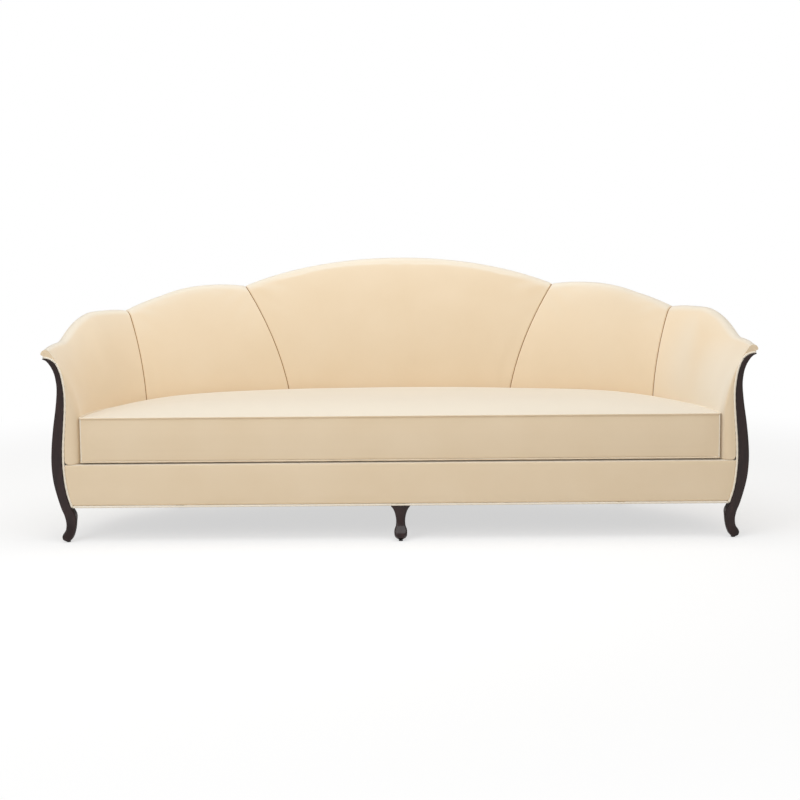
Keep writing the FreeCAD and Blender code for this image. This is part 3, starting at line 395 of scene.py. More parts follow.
def clothMaterial(name, look):
    material, tree, shader = newMaterial(name)
    spot = addNode(tree, "TexCoord").outputs["Object"]
    weave = None
    for direction in ("X", "Y", "Z"):  # crossed fine ribs read as a plain weave on every face
        ribs = addNode(tree, "TexWave", {
            "Scale": look["threadsPerMetre"] / 20 * math.pi, "Distortion": look["threadWander"],
            "Detail": 1.0, "Detail Scale": 2.0, "Vector": spot}, bands_direction=direction).outputs["Fac"]
        weave = addNode(tree, "Math", {0: weave, 1: ribs}, operation="ADD").outputs["Value"] if weave else ribs
    cloudy = addNode(tree, "TexNoise", {"Scale": look["napScale"], "Detail": 5.0, "Vector": spot})  # slow drift
    slub = addNode(tree, "TexNoise", {"Scale": look["slubScale"], "Detail": 3.0, "Vector": spot}).outputs["Fac"]
    dyeAndPaintedLight = addNode(tree, "Mix", {"Factor": cloudy.outputs["Fac"], "A": look["shade"], "B": look["light"]},
                  data_type="RGBA").outputs["Result"]
    # painted highlight mixed into the cloth colour on faces turned up or towards the left
    if look["paintedHighlight"]:
        dyeAndPaintedLight = paintHighlightOnLitFaces(tree, dyeAndPaintedLight, look)
    tone = addNode(tree, "MapRange", {"From Max": 3.0, "To Min": look["weaveDark"], "To Max": 1.0, "Value": weave})
    tinted = addNode(tree, "Mix", {"Factor": 1.0, "A": dyeAndPaintedLight, "B": tone.outputs["Result"]},
                     data_type="RGBA", blend_type="MULTIPLY")
    rough = addNode(tree, "MapRange", {
        "To Min": look["roughness"] - 0.06, "To Max": look["roughness"] + 0.06, "Value": slub})
    fine = addNode(tree, "Bump", {"Strength": look["weaveBump"], "Distance": 0.0004, "Height": weave})
    broad = addNode(tree, "Bump", {
        "Strength": look["slubBump"], "Distance": 0.002, "Height": slub, "Normal": fine.outputs["Normal"]})
    feed(tree, shader, {
        "Base Color": tinted.outputs["Result"], "Roughness": rough.outputs["Result"],
        "Normal": broad.outputs["Normal"], "Sheen Weight": look["sheen"], "Sheen Roughness": look["sheenSpread"],
        "Sheen Tint": look["sheenTint"], "Specular IOR Level": 0.2})
    return material


def woodMaterial(name, look):
    material, tree, shader = newMaterial(name)
    spot = addNode(tree, "TexCoord").outputs["Object"]
    stretched = addNode(tree, "Mapping", {"Scale": look["grainStretch"], "Vector": spot}).outputs["Vector"]
    grain = addNode(tree, "TexNoise", {
        "Scale": look["grainScale"], "Detail": 8.0, "Roughness": 0.65, "Distortion": 0.6,
        "Vector": stretched}).outputs["Fac"]
    pores = addNode(tree, "TexNoise", {"Scale": look["grainScale"] * 6, "Detail": 4.0, "Vector": stretched})
    tone = addNode(tree, "ValToRGB", {"Fac": grain})
    dark, light = tone.color_ramp.elements
    dark.position, dark.color = 0.32, look["dark"]
    light.position, light.color = 0.72, look["light"]
    rough = addNode(tree, "MapRange", {
        "To Min": look["roughness"] - 0.07, "To Max": look["roughness"] + 0.1, "Value": grain})
    bump = addNode(tree, "Bump", {
        "Strength": look["grainBump"], "Distance": 0.0006, "Height": pores.outputs["Fac"]})
    feed(tree, shader, {
        "Base Color": tone.outputs["Color"], "Roughness": rough.outputs["Result"], "Normal": bump.outputs["Normal"],
        "Specular IOR Level": 0.35, "Coat Weight": look["polish"], "Coat Roughness": look["polishRoughness"]})
    return material


def plainMaterial(name, look):
    # metal, plastic: a mottled colour with its own bump
    material, tree, shader = newMaterial(name)
    spot = addNode(tree, "TexCoord").outputs["Object"]
    mottle = addNode(tree, "TexNoise", {"Scale": look["scale"], "Detail": 6.0, "Vector": spot}).outputs["Fac"]
    tone = addNode(tree, "Mix", {"Factor": mottle, "A": look["dark"], "B": look["light"]}, data_type="RGBA")
    rough = addNode(tree, "MapRange", {
        "To Min": look["roughness"] - 0.05, "To Max": look["roughness"] + 0.08, "Value": mottle})
    bump = addNode(tree, "Bump", {"Strength": look["bump"], "Distance": 0.0008, "Height": mottle})
    feed(tree, shader, {
        "Base Color": tone.outputs["Result"], "Roughness": rough.outputs["Result"],
        "Normal": bump.outputs["Normal"], "Metallic": look["metal"]})
    return material


ivory = {
    "shade": linear(231, 208, 175),
    "light": linear(239, 219, 190),
    # colour of the painted highlight on faces turned up or towards the left
    "paintedHighlight": linear(234, 224, 207),
    "paintedHighlightUp": (0.3, 1.0),  # painted highlight on faces turned up: share of up where it starts and where it is full
    "paintedHighlightLeft": (-0.55, -1.05),
    "weaveDark": 0.985,
    "threadsPerMetre": 1300,
    "threadWander": 0.9,
    "napScale": 5.0,
    "slubScale": 90.0,
    "roughness": 0.84,
    "weaveBump": 0.08,
    "slubBump": 0.04,
    "sheen": 0.85,
    "sheenSpread": 0.35,
    "sheenTint": linear(255, 252, 246),
}
ivoryCloth = clothMaterial("ivoryCloth", ivory)


def otherCloth(name, shade, light, **changes):
    return clothMaterial(name, {**ivory, "paintedHighlight": None, "shade": linear(*shade), "light": linear(*light), **changes})


weltCloth = otherCloth("weltCloth", (241, 229, 209), (249, 240, 224),
    weaveDark=0.97, weaveBump=0.3)
# seam thread, part real stitching and part painted crease shade: darkened brown to stand for the shade in the seam
# groove
threadAndCreaseShadeCloth = otherCloth("threadAndCreaseShadeCloth", (146, 104, 58), (164, 122, 74),
    sheen=0.0, weaveBump=0.3)
deckCloth = otherCloth("deckCloth", (205, 184, 152), (217, 197, 166),
    threadsPerMetre=700, weaveBump=0.5, sheen=0.1)
blackLining = otherCloth("blackLining", (26, 26, 27), (38, 38, 39),
    threadsPerMetre=500, weaveDark=0.6, weaveBump=0.5, sheen=0.05, sheenTint=linear(120, 120, 120))
juteCloth = otherCloth("juteCloth", (150, 116, 70), (186, 150, 100),
    threadsPerMetre=350, weaveDark=0.55, weaveBump=0.9, slubBump=0.3, sheen=0.1)
feltCloth = otherCloth("feltCloth", (206, 203, 196), (232, 230, 224),
    threadsPerMetre=250, threadWander=6.0, slubBump=0.6, sheen=0.2)
tapeCloth = otherCloth("tapeCloth", (214, 190, 156), (226, 203, 170),
    threadsPerMetre=1400, weaveBump=0.6, sheen=0.1)
showWood = woodMaterial("showWood", {
    "dark": linear(30, 17, 17), "light": linear(52, 31, 30), "grainScale": 9.0, "grainStretch": (7.0, 7.0, 1.0),
    "grainBump": 0.06, "roughness": 0.36, "polish": 0.2, "polishRoughness": 0.2})
beechWood = woodMaterial("beechWood", {
    "dark": linear(176, 130, 84), "light": linear(222, 184, 136), "grainScale": 7.0,
    "grainStretch": (1.0, 9.0, 9.0), "grainBump": 0.3, "roughness": 0.62, "polish": 0.0, "polishRoughness": 0.5})
springSteel = plainMaterial("springSteel", {
    "dark": linear(120, 120, 122), "light": linear(176, 176, 178), "scale": 160.0, "roughness": 0.36,
    "bump": 0.15, "metal": 1.0})
glidePlastic = plainMaterial("glidePlastic", {
    "dark": linear(28, 26, 25), "light": linear(44, 41, 39), "scale": 240.0, "roughness": 0.5,
    "bump": 0.2, "metal": 0.0})
brassTeeth = plainMaterial("brassTeeth", {
    "dark": linear(150, 118, 62), "light": linear(196, 160, 96), "scale": 300.0, "roughness": 0.32,
    "bump": 0.1, "metal": 1.0})

inside = {
    beechWood: ["front_seat_rail", "rear_seat_rail", "side_seat_rail_left", "side_seat_rail_right",
                "seat_stretchers", "corner_blocks", "splice_blocks", "back_post_centre", "back_posts_inner",
                "back_posts_outer", "arm_posts", "crest_rail_centre", "crest_rail_left", "crest_rail_right",
                "arm_top_rail_left", "arm_top_rail_right", "tack_rails_centre", "tack_rails_middle",
                "tack_rails_arm", "rail_dowels"],
    springSteel: ["leg_bolts", "leg_nuts", "frame_screws", "seat_springs", "spring_clips"],
    glidePlastic: ["foot_glides"],
}
for material, names in inside.items():
    for name in names:
        nodes[name].data.materials.clear()
        nodes[name].data.materials.append(material)
print("materials ready")


# the five panels of the back

panelLook = {
    "seamRound": 0.0055,  # how softly the cloth turns into a seam
    "valley": 0.004,  # broad dip of the padding beside a seam
    "seamGap": 0.0003,
    "seamDepth": 0.0028,  # of the thread line below the cloth
    "seamWidth": 0.0044,
    "step": 0.013,
    "pressure": 3.0,
    "cap": 0.0035,
    "fill": 0.85,
}
deckTop = 0.2623
padDepth = 0.046
frameFace = 0.049  # inner face of the timber behind the pads
kneeRear, kneeFront = 0.415, 0.505  # where the frame starts to lean out, at the outer seam and the arm's end
skinSteps = (12, 40, 25, 4)  # points up the face, round the bend, over the roll and down the tail
skinCount = sum(skinSteps)
noseSetIn = 0.038
frontWelt = 0.0076


def faceSetBack(s):
    s = abs(s)
    if s <= innerSeam:
        offMiddle = s / innerSeam
    elif s <= outerSeam:
        offMiddle = abs(2 * (s - innerSeam) / (outerSeam - innerSeam) - 1)
    else:
        offMiddle = max(0.0, 1 - 2 * armShare(s))
    turned = clamp((s - noseStart) / (armEnd - noseStart))
    return panelLook["valley"] * offMiddle ** 6 + noseSetIn * (1 - math.sqrt(1 - turned ** 2))


def padLoop(s, sink):
    # closed section of the padding: up the face, over the roll, down the outside and back inside
    skin = rollRadius(s) - sink
    cp, cz = rollPoint(s, 0, 0)
    slope = leanAngle(s)
    faceP = faceSetBack(s) + sink
    endP, endZ = cp - skin * math.cos(slope), cz + skin * math.sin(slope)
    bend = (endP - faceP) / (1 - math.cos(slope))
    bendZ = endZ - (endP - faceP) / math.tan(slope / 2)
    besideStile = abs(s) > noseStart + 1e-5
    tuck = 0.0 if besideStile else rollTuck(s)
    faceSteps, bendSteps, overSteps, tailSteps = skinSteps
    skinPath = [(faceP, deckTop + (bendZ - deckTop) * i / faceSteps) for i in range(faceSteps)]
    for i in range(bendSteps):
        a = slope * i / bendSteps
        skinPath.append((faceP + bend * (1 - math.cos(a)), bendZ + bend * math.sin(a)))
    for i in range(overSteps):
        a = math.pi - slope - (math.pi - slope + tuck) * i / (overSteps - 1)
        skinPath.append((cp + skin * math.cos(a), cz + skin * math.sin(a)))
    if besideStile:
        side = [(x - seatPlan["halfWidth"], z) for x, z in shiftedPath(stileInner, -frontWelt - sink)]
        inner = clippedPath(side, deckTop, 0.700)[::-1]
        tail = [skinPath[-1], inner[0]]
        hidden = inner + [(faceP + 0.002, deckTop)]
    else:
        down = rollTail(s) - sink
        tail = [skinPath[-1], rollPoint(s, skin, down)]
        behind = rollPoint(s, skin - 0.02, 0.004)
        knee = kneeRear + (kneeFront - kneeRear) * clamp(armShare(s))
        hidden = [rollPoint(s, skin - 0.005, down), behind, (padDepth, knee),
                  (padDepth, deckTop), (faceP + 0.004, deckTop)]
    skinPath += evenly(tail, tailSteps + 1)[1:]
    return skinPath + evenly(hidden, 22)


def seamStations(start, end, softStart=True, softEnd=True):
    closer = [0.0, 0.0012, 0.003, 0.0055, 0.009, 0.015]
    first = [start + d for d in closer] if softStart else [start]
    last = [end - d for d in closer[::-1]] if softEnd else [end]
    count = max(3, round((last[0] - first[-1]) / panelLook["step"]))
    between = [first[-1] + (last[0] - first[-1]) * i / count for i in range(1, count)]
    return first + between + last


def seamSink(distance):
    r = panelLook["seamRound"]
    if distance >= r:
        return 0.0
    return r - math.sqrt(max(0.0, r * r - (r - distance) ** 2))


def makePanel(name, start, end, nose=False):
    if nose:
        stations = seamStations(start, noseStart, True, False)
        stations += [noseStart + (armEnd - noseStart) * math.sin(math.pi / 2 * i / 14) for i in range(1, 15)]
        stations[-1] = armEnd - 0.0002
    else:
        stations = seamStations(start, end)
    points = []
    for s in stations:
        near = s - start if nose else min(s - start, end - s)
        sink = seamSink(near)
        points += [place(s, p, z, bowed=True) for p, z in padLoop(s, sink)]
    count = len(points) // len(stations)
    piece = makePiece(name, points, ringFaces(len(stations), count), ivoryCloth)
    held = piece.vertex_groups.new(name="held")
    for i, s in enumerate(stations):
        near = s - start if nose else min(s - start, end - s)
        for j in range(count):
            free = 0.0
            if j < skinCount:
                free = clamp((near - 0.004) / 0.05) * clamp((skinCount - 3 - j) / 8)
                if nose:
                    free *= clamp((armEnd - s - 0.03) / 0.06)
            held.add([i * count + j], 1 - free, "REPLACE")
    return piece


def mirroredPiece(piece, name):
    mesh = piece.data.copy()
    mesh.name = name
    for v in mesh.vertices:
        v.co.x = -v.co.x
    mesh.flip_normals()
    twin = bpy.data.objects.new(name, mesh)
    scene.collection.objects.link(twin)
    for group in piece.vertex_groups:
        twin.vertex_groups.new(name=group.name)
    for modifier in piece.modifiers:
        copy = twin.modifiers.new(modifier.name, modifier.type)
        if modifier.type == "SUBSURF":
            copy.levels, copy.render_levels = modifier.levels, modifier.render_levels
    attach(twin, piece["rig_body"])
    return twin


stuffing = {
    "quality": 5,
    "mass": 0.25,
    "tension_stiffness": 18,
    "compression_stiffness": 12,
    "shear_stiffness": 6,
    "bending_stiffness": 0.6,
    "air_damping": 3,
    "use_pressure": True,
    "vertex_group_mass": "held",
}


def stuff(pieces, pressure, caps, frames=20):
    # one run of cloth with air inside, kept within a few millimetres of the sewn shape
    rest = {}
    for piece in pieces:
        rest[piece.name] = [v.co.copy() for v in piece.data.vertices]
        cloth = piece.modifiers.new("stuffing", "CLOTH")
        for key, value in stuffing.items():
            setattr(cloth.settings, key, value)
        cloth.settings.uniform_pressure_force = pressure
        cloth.settings.effector_weights.gravity = 0
        cloth.point_cache.frame_start, cloth.point_cache.frame_end = 1, frames
    for number in range(1, frames + 1):
        scene.frame_set(number)
    for piece in pieces:
        blown = bpy.data.meshes.new_from_object(piece.evaluated_get(bpy.context.evaluated_depsgraph_get()))
        cap = caps[piece.name]
        for v, before, after in zip(piece.data.vertices, rest[piece.name], blown.vertices):
            lift = (after.co - before).dot(v.normal)
            if lift > 0:
                v.co = before + v.normal * (cap * lift / (cap + lift))
        bpy.data.meshes.remove(blown)
        piece.modifiers.remove(piece.modifiers["stuffing"])
    scene.frame_set(1)


gap = panelLook["seamGap"] / 2
backCentre = makePanel("backCentre", -innerSeam + gap, innerSeam - gap)
backMiddleRight = makePanel("backMiddleRight", innerSeam + gap, outerSeam - gap)
wingRight = makePanel("wingRight", outerSeam + gap, armEnd, nose=True)


def makeSeams():
    # stitched line at the bottom of each seam, its thread darkened as painted shade of the crease
    points, faces = [], []
    for s in (-outerSeam, -innerSeam, innerSeam, outerSeam):
        path = padLoop(s, panelLook["seamDepth"])[:skinCount]
        across = panelLook["seamWidth"] / 2
        first = len(points)
        for p, z in path:
            points += [place(s - across, p, z, bowed=True), place(s, p - 0.0006, z, bowed=True),
                       place(s + across, p, z, bowed=True), place(s, p + 0.002, z, bowed=True)]
        faces += [tuple(first + i for i in face) for face in ringFaces(len(path), 4)]
    seams = makePiece("seams", points, faces, threadAndCreaseShadeCloth)


makeSeams()
print("back panels sewn")


# loose bench cushion

benchLook = {
    "gap": 0.0004,
    "front": 0.008,
    "seamDraw": 0.0012,
    "bottom": 0.2702,
    "top": 0.417,
    "frontBulge": 0.004,
    "crown": 0.029,
    "crownRuns": (0.410, 0.240, 0.050),  # how far the crown rises from the sides, the front and the back
    "frontCorner": 0.005,
    "sag": 0.0062,
    "pressure": 2.0,
    "cap": 0.005,
    "fill": 0.8,
}


def benchBack(t, draw):
    # point t of the way round the back of the cushion, 0 at the left front, 1 at the right front
    half = seatPlan["halfWidth"] - benchLook["gap"] - draw
    rear = seatPlan["depth"] - benchLook["gap"] - draw
    radius = seatPlan["cornerRadius"] - benchLook["gap"] - draw
    cx, cy, big, turn = sweepPlan(half, rear, radius)
    lengths = [radius * (math.pi / 2 - turn), 2 * big * turn, radius * (math.pi / 2 - turn)]
    want = t * sum(lengths)
    if want <= lengths[0]:
        a = -math.pi / 2 + want / radius
        x, y = -cx + radius * math.sin(a), armRun + radius * math.cos(a)
    elif want <= lengths[0] + lengths[1]:
        a = -turn + (want - lengths[0]) / big
        x, y = big * math.sin(a), cy + big * math.cos(a)
    else:
        a = turn + (want - lengths[0] - lengths[1]) / radius
        x, y = cx + radius * math.sin(a), armRun + radius * math.cos(a)
    return x, y


def crownShare(x, y, half, backY):
    sideRun, frontRun, backRun = benchLook["crownRuns"]
    toSide = clamp((half - abs(x)) / sideRun)
    toFront = clamp((y - benchLook["front"]) / frontRun)
    toBack = clamp((backY - y) / backRun)
    return math.sin(math.pi / 2 * toSide) ** 1.15 * (1 - (1 - toFront) ** 2.6) * (1 - (1 - toBack) ** 4)


def makeCushion():
    columns, rows, levels = 170, 44, 14
    draw = benchLook["seamDraw"]
    half = seatPlan["halfWidth"] - benchLook["gap"] - draw
    frontY = benchLook["front"] + draw
    r = benchLook["frontCorner"]
    shares = [0.5 - 0.5 * math.cos(math.pi * (0.06 + 0.88 * i / columns)) for i in range(columns + 1)]
    low, high = shares[0], shares[-1]
    shares = [(t - low) / (high - low) for t in shares]
    shares = [0.75 * i / columns + 0.25 * t for i, t in enumerate(shares)]
    backs = [benchBack(t, draw) for t in shares]

    def frontOf(x):
        past = abs(x) - (half - r)
        return frontY + (r - math.sqrt(max(0.0, r * r - past * past)) if past > 0 else 0.0)

    grid = {}
    points = []

    def addPoint(key, x, y, z):
        grid[key] = len(points)
        points.append(Vector((x, y + seatPlan["toMiddle"], z)))

    for c, (bx, by) in enumerate(backs):
        fy = frontOf(bx)
        for row in range(rows + 1):
            f = row / rows
            f = 0.5 * f + 0.5 * (0.5 - 0.5 * math.cos(math.pi * f))
            y = fy + (by - fy) * f
            rise = crownShare(bx, y, half, by)
            edge = row in (0, rows) or c in (0, columns)
            ripple = 0.0 if edge else rippled(Vector((bx, y, 0.3)), 0.22, 0.0012)
            addPoint(("top", c, row), bx, y, benchLook["top"] + benchLook["crown"] * rise + ripple)
            fall = min(1.0, rise * 2.5)
            addPoint(("low", c, row), bx, y, benchLook["bottom"] - benchLook["sag"] * fall)
    rim = gridRim(columns, rows)
    topRim, lowRim = [grid[("top", *k)] for k in rim], [grid[("low", *k)] for k in rim]
    faces = []
    for c in range(columns):
        for row in range(rows):
            a, b, d, e = (c, row), (c + 1, row), (c + 1, row + 1), (c, row + 1)
            faces.append(tuple(grid[("top", *k)] for k in (a, b, d, e)))
            faces.append(tuple(grid[("low", *k)] for k in (e, d, b, a)))
    centreRow = Vector((0, seatPlan["depth"] / 2 + seatPlan["toMiddle"], 0))
    previous = lowRim
    outward = []
    for i, k in enumerate(topRim):
        way = (points[topRim[(i + 1) % len(rim)]] - points[topRim[i - 1]]).normalized()
        normal = Vector((way.y, -way.x, 0))
        if normal.dot(points[k] - centreRow) < 0:
            normal = -normal
        outward.append(normal)
    for level in range(1, levels):
        f = level / levels
        bulge = draw * (1 - abs(2 * f - 1) ** 2.6)
        ring = []
        for i, (lowPoint, topPoint) in enumerate(zip(lowRim, topRim)):
            foot, head = points[lowPoint], points[topPoint]
            facing = max(0.0, -outward[i].y) * clamp((half - abs(foot.x)) / 0.05)
            swell = bulge + benchLook["frontBulge"] * facing * math.sin(math.pi * f)
            ring.append(len(points))
            points.append(foot.lerp(head, f) + outward[i] * swell)
        faces += bridge(previous, ring)
        previous = ring
    faces += bridge(previous, topRim)
    piece = makePiece("benchCushion", points, faces, ivoryCloth, "seat_cushion")
    held = piece.vertex_groups.new(name="held")
    held.add(list(range(len(points))), 0.0, "REPLACE")
    held.add(topRim + lowRim, 1.0, "REPLACE")
    under = [grid[("low", c, row)] for c in range(columns + 1) for row in range(rows + 1)]
    held.add(under, 1.0, "REPLACE")
    return piece, topRim, lowRim


benchCushion, topRim, lowRim = makeCushion()
print("cushion sewn", len(benchCushion.data.vertices))


# air into the padded pieces

stuff([backCentre, backMiddleRight, wingRight], panelLook["pressure"],
      {p.name: panelLook["cap"] for p in (backCentre, backMiddleRight, wingRight)})
stuff([benchCushion], benchLook["pressure"], {"benchCushion": benchLook["cap"]})
backMiddleLeft = mirroredPiece(backMiddleRight, "backMiddleLeft")
wingLeft = mirroredPiece(wingRight, "wingLeft")
for piece, side in ((backMiddleLeft, "left"), (backMiddleRight, "right")):
    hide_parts("cover_middle_" + side, "foam_middle_" + side)
for piece, side in ((wingLeft, "left"), (wingRight, "right")):
    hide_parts("cover_wing_" + side, "foam_wing_" + side)
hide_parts("cover_centre", "foam_centre")
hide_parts("cushion_cover", "cushion_wrap", "cushion_core")
for piece in (backCentre, backMiddleLeft, backMiddleRight, wingLeft, wingRight, benchCushion):
    subdivide(piece)
print("padding stuffed")


# welts

weltLook = {
    "radius": 0.0035,
    "cushionRadius": 0.0026,
    "cornerRadius": 0.0022,
    "pucker": 0.00025,  # how much the cord swells between stitches
    "puckerEvery": 0.022,
}


def makeWelt(name, path, radius, body, closedLoop=False, sides=12):
    points = []
    run = 0.0
    total = len(path)
    for i, p in enumerate(path):
        ahead = path[(i + 1) % total] if closedLoop else path[min(i + 1, total - 1)]
        behind = path[i - 1] if closedLoop else path[max(i - 1, 0)]
        way = (ahead - behind).normalized()
        across = way.cross(Vector((0, 0, 1)) if abs(way.z) < 0.8 else Vector((0, 1, 0))).normalized()
        up = across.cross(way).normalized()
        if i:
            run += (p - path[i - 1]).length
        swell = radius + weltLook["pucker"] * math.sin(2 * math.pi * run / weltLook["puckerEvery"])
        for k in range(sides):
            a = 2 * math.pi * k / sides
            points.append(p + across * (swell * math.cos(a)) + up * (swell * math.sin(a)))
    faces = ringFaces(total, sides, closeEnds=not closedLoop)
    if closedLoop:
        last = (total - 1) * sides
        faces += [(last + k, last + (k + 1) % sides, (k + 1) % sides, k) for k in range(sides)]
    return makePiece(name, points, faces, weltCloth, body)


borderBottom = 0.122
weltZ = borderBottom - weltLook["radius"] - 0.0001
stilePath = clippedPath(shiftedPath(stileInner, -frontWelt / 2), weltZ, 0.700)
stilePath = smoothPath(stilePath, 130)
stilePath = [Vector((x, seatPlan["toMiddle"], z)) for x, z in stilePath]
weltRight = makeWelt("weltRight", stilePath, weltLook["radius"], "root")
weltLeft = mirroredPiece(weltRight, "weltLeft")
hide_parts("stile_welt_right")
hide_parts("stile_welt_left")
weltEnd = stilePath[0].x - 0.002
railPath = [Vector((-weltEnd + 2 * weltEnd * i / 420, seatPlan["toMiddle"], weltZ)) for i in range(421)]
weltRail = makeWelt("weltRail", railPath, weltLook["radius"], "root")
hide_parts("rail_welt")


def cushionWelt(name, rimPoints, lift, node):
    rim = [benchCushion.data.vertices[i].co.copy() for i in rimPoints]
    loop = []
    for i, p in enumerate(rim):
        way = (rim[(i + 1) % len(rim)] - rim[i - 1]).normalized()
        out = Vector((way.y, -way.x, 0)).normalized()
        loop.append(p + out * 0.0018 + Vector((0, 0, lift)))
    loop = [loop[i] * 0.5 + (loop[i - 1] + loop[(i + 1) % len(loop)]) * 0.25 for i in range(len(loop))]
    welt = makeWelt(name, loop, weltLook["cushionRadius"], "seat_cushion", closedLoop=True, sides=10)
    welt.data.materials[0] = ivoryCloth
    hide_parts(node)
    return welt


def cornerWelt(name, side):
    # piping down a front corner of the cushion
    x = seatPlan["halfWidth"] - benchLook["gap"] - benchLook["seamDraw"] - 0.0012
    y = benchLook["front"] + benchLook["seamDraw"] + 0.0006 + seatPlan["toMiddle"]
    low, high = benchLook["bottom"] + 0.002, benchLook["top"] - 0.002
    path = [Vector((side * x, y, low + (high - low) * i / 30)) for i in range(31)]
    return makeWelt(name, path, weltLook["cornerRadius"], "seat_cushion", sides=10)


cornerWelt("cornerWeltLeft", -1)
cornerWelt("cornerWeltRight", 1)
cushionWelt("cushionWeltTop", topRim, 0.0008, "cushion_welt_top")
cushionWelt("cushionWeltLow", lowRim, -0.0002, "cushion_welt_bottom")
print("welts laid")


# padded border, deck and seat layers

borderLook = {
    "round": 0.0025,
    "crown": 0.002,
    "lip": 0.100,
    "deckLow": 0.2543,
}


# flat layers of the seat: edge past the seat line, front, underside, top and how wavy they are
layers = {
    "deckPad": {"out": 0.044, "front": borderLook["lip"] + 0.0003, "low": 0.2545, "high": 0.2618, "wave": 0.0006},
    "insulator": {"out": 0.024, "front": 0.055, "low": 0.2512, "high": 0.2538, "wave": 0.0},
    "dustCloth": {"out": 0.049, "front": 0.048, "low": 0.1249, "high": 0.1256, "wave": 0.0},
}


def makeBorder():
    rows = 26
    across = [2 * c / 190 - 1 for c in range(191)]
    across = [0.7 * u + 0.3 * math.sin(math.pi / 2 * u) for u in across]
    across = across[:1] + [-0.9994, -0.998] + across[1:-1] + [0.998, 0.9994] + across[-1:]
    side = clippedPath(shiftedPath(stileInner, -frontWelt + 0.0012), borderBottom - 0.0012, deckTop - 0.0003)
    side = evenly(smoothPath(side, 60), rows + 1)
    points = []
    for u in across:
        column = []
        for x, z in side:
            toEnd = (1 - abs(u)) * x
            toRim = min(z - borderBottom + 0.0012, deckTop - z, toEnd)
            roll = borderLook["round"] - math.sqrt(max(0.0, borderLook["round"] ** 2
                   - max(0.0, borderLook["round"] - toRim) ** 2))
            swell = borderLook["crown"] * min(1.0, toRim / 0.03)
            ripple = rippled(Vector((u * x, 0.4, z)), 0.16, 0.0005)
            column.append(Vector((u * x, roll - swell + ripple, z)))
        top = column[-1]
        column += [Vector((top.x, y, deckTop - 0.0003)) for y in (0.010, 0.022, 0.040, 0.070, borderLook["lip"])]
        column += [Vector((top.x, borderLook["lip"], borderLook["deckLow"])),
                   Vector((top.x, 0.020, borderLook["deckLow"])), Vector((top.x, 0.0118, 0.246)),
                   Vector((column[0].x, 0.0118, borderBottom - 0.0012))]
        points += [p + Vector((0, seatPlan["toMiddle"], 0)) for p in column]
    count = len(points) // len(across)
    piece = makePiece("frontBorder", points, ringFaces(len(across), count), ivoryCloth)
    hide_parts("front_border", "edge_roll")
    return subdivide(piece)


def seatShape(name, look, material):
    # a flat layer cut to the seat's plan
    points, faces = [], []
    columns, rows = 120, 26
    spots = [planFrame(-armEnd + 2 * armEnd * i / columns) for i in range(columns + 1)]
    edge = [base + outward * look["out"] for base, outward, tangent in spots]
    frontY = look["front"] + seatPlan["toMiddle"]
    for z in (look["high"], look["low"]):
        for e in edge:
            for row in range(rows + 1):
                y = frontY + (max(e.y, frontY + 0.001) - frontY) * row / rows
                ripple = rippled(Vector((e.x, y, z)), 0.12, look["wave"])
                points.append(Vector((e.x, y, z + ripple)))
    count = (columns + 1) * (rows + 1)
    for c in range(columns):
        for row in range(rows):
            a = c * (rows + 1) + row
            b = a + rows + 1
            faces.append((a, b, b + 1, a + 1))
            faces.append((count + a, count + a + 1, count + b + 1, count + b))
    rim = [c * (rows + 1) + row for c, row in gridRim(columns, rows)]
    faces += bridge(rim, [count + a for a in rim])
    return makePiece(name, points, faces, material)


frontBorder = makeBorder()
deckPad = seatShape("deckPad", layers["deckPad"], deckCloth)
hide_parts("deck_pad")
insulator = seatShape("insulator", layers["insulator"], feltCloth)
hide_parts("spring_insulator")
dustCloth = seatShape("dustCloth", layers["dustCloth"], blackLining)
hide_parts("dust_cover")
print("border and deck done")


# outside of the back and arms

outsideLook = {
    "bottom": 0.122,
    "bottomBack": 0.084,
    "bulge": 0.006,
    "inset": 0.0015,
    "thickness": 0.0028,
    "seamDip": 0.0022,
}


def outsideLine(s):
    topP, topZ = rollPoint(s, rollRadius(s), rollTail(s) + 0.0003)
    weight = ease((armShare(s) - 0.15) / 0.75)
    line = []
    for i in range(25):
        share = i / 24
        z = outsideLook["bottom"] + share * (topZ - outsideLook["bottom"])
        behind = outsideLook["bottomBack"] + (topP - outsideLook["bottomBack"]) * share
        behind += outsideLook["bulge"] * 4 * share * (1 - share)
        beside = acrossAt(stileOuter, z) - seatPlan["halfWidth"] - outsideLook["inset"]
        blend = weight * (1 - ease((share - 0.94) / 0.06))
        line.append((behind + (beside - behind) * blend, z))
    return line


def makeOutside(name, start, end, seams):
    count = round((end - start) / 0.016)
    stations = [start + (end - start) * i / count for i in range(count + 1)]
    points = []
    for s in stations:
        nearest = min(abs(s - seam) for seam in seams)
        dip = outsideLook["seamDip"] * math.exp(-(nearest / 0.006) ** 2)
        line = outsideLine(s)
        outer = [(p - dip, z) for p, z in line]
        inner = [(p - outsideLook["thickness"], z) for p, z in line[::-1]]
        points += [place(s, p, z) for p, z in outer + inner]
    piece = makePiece(name, points, ringFaces(len(stations), 50), ivoryCloth)
    return subdivide(piece)


outsideBack = makeOutside("outsideBack", -outerSeam + gap, outerSeam - gap, [-outerSeam, outerSeam])
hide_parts("outside_back")
outsideRight = makeOutside("outsideRight", outerSeam + gap, noseStart, [outerSeam])
outsideLeft = mirroredPiece(outsideRight, "outsideLeft")
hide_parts("outside_arm_right")
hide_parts("outside_arm_left")
print("outside covered")


# webbing inside the back

webLook = {
    "width": 0.040,
    "thickness": 0.0011,
    "lap": 0.264,
    "play": 0.0006,
    "railThick": (0.024, 0.013),  # of the crest rail, at the outer seam and at the arm's end
    "railHigh": (0.046, 0.020),
    "railBelow": 0.0073,  # the skin of the roll
}


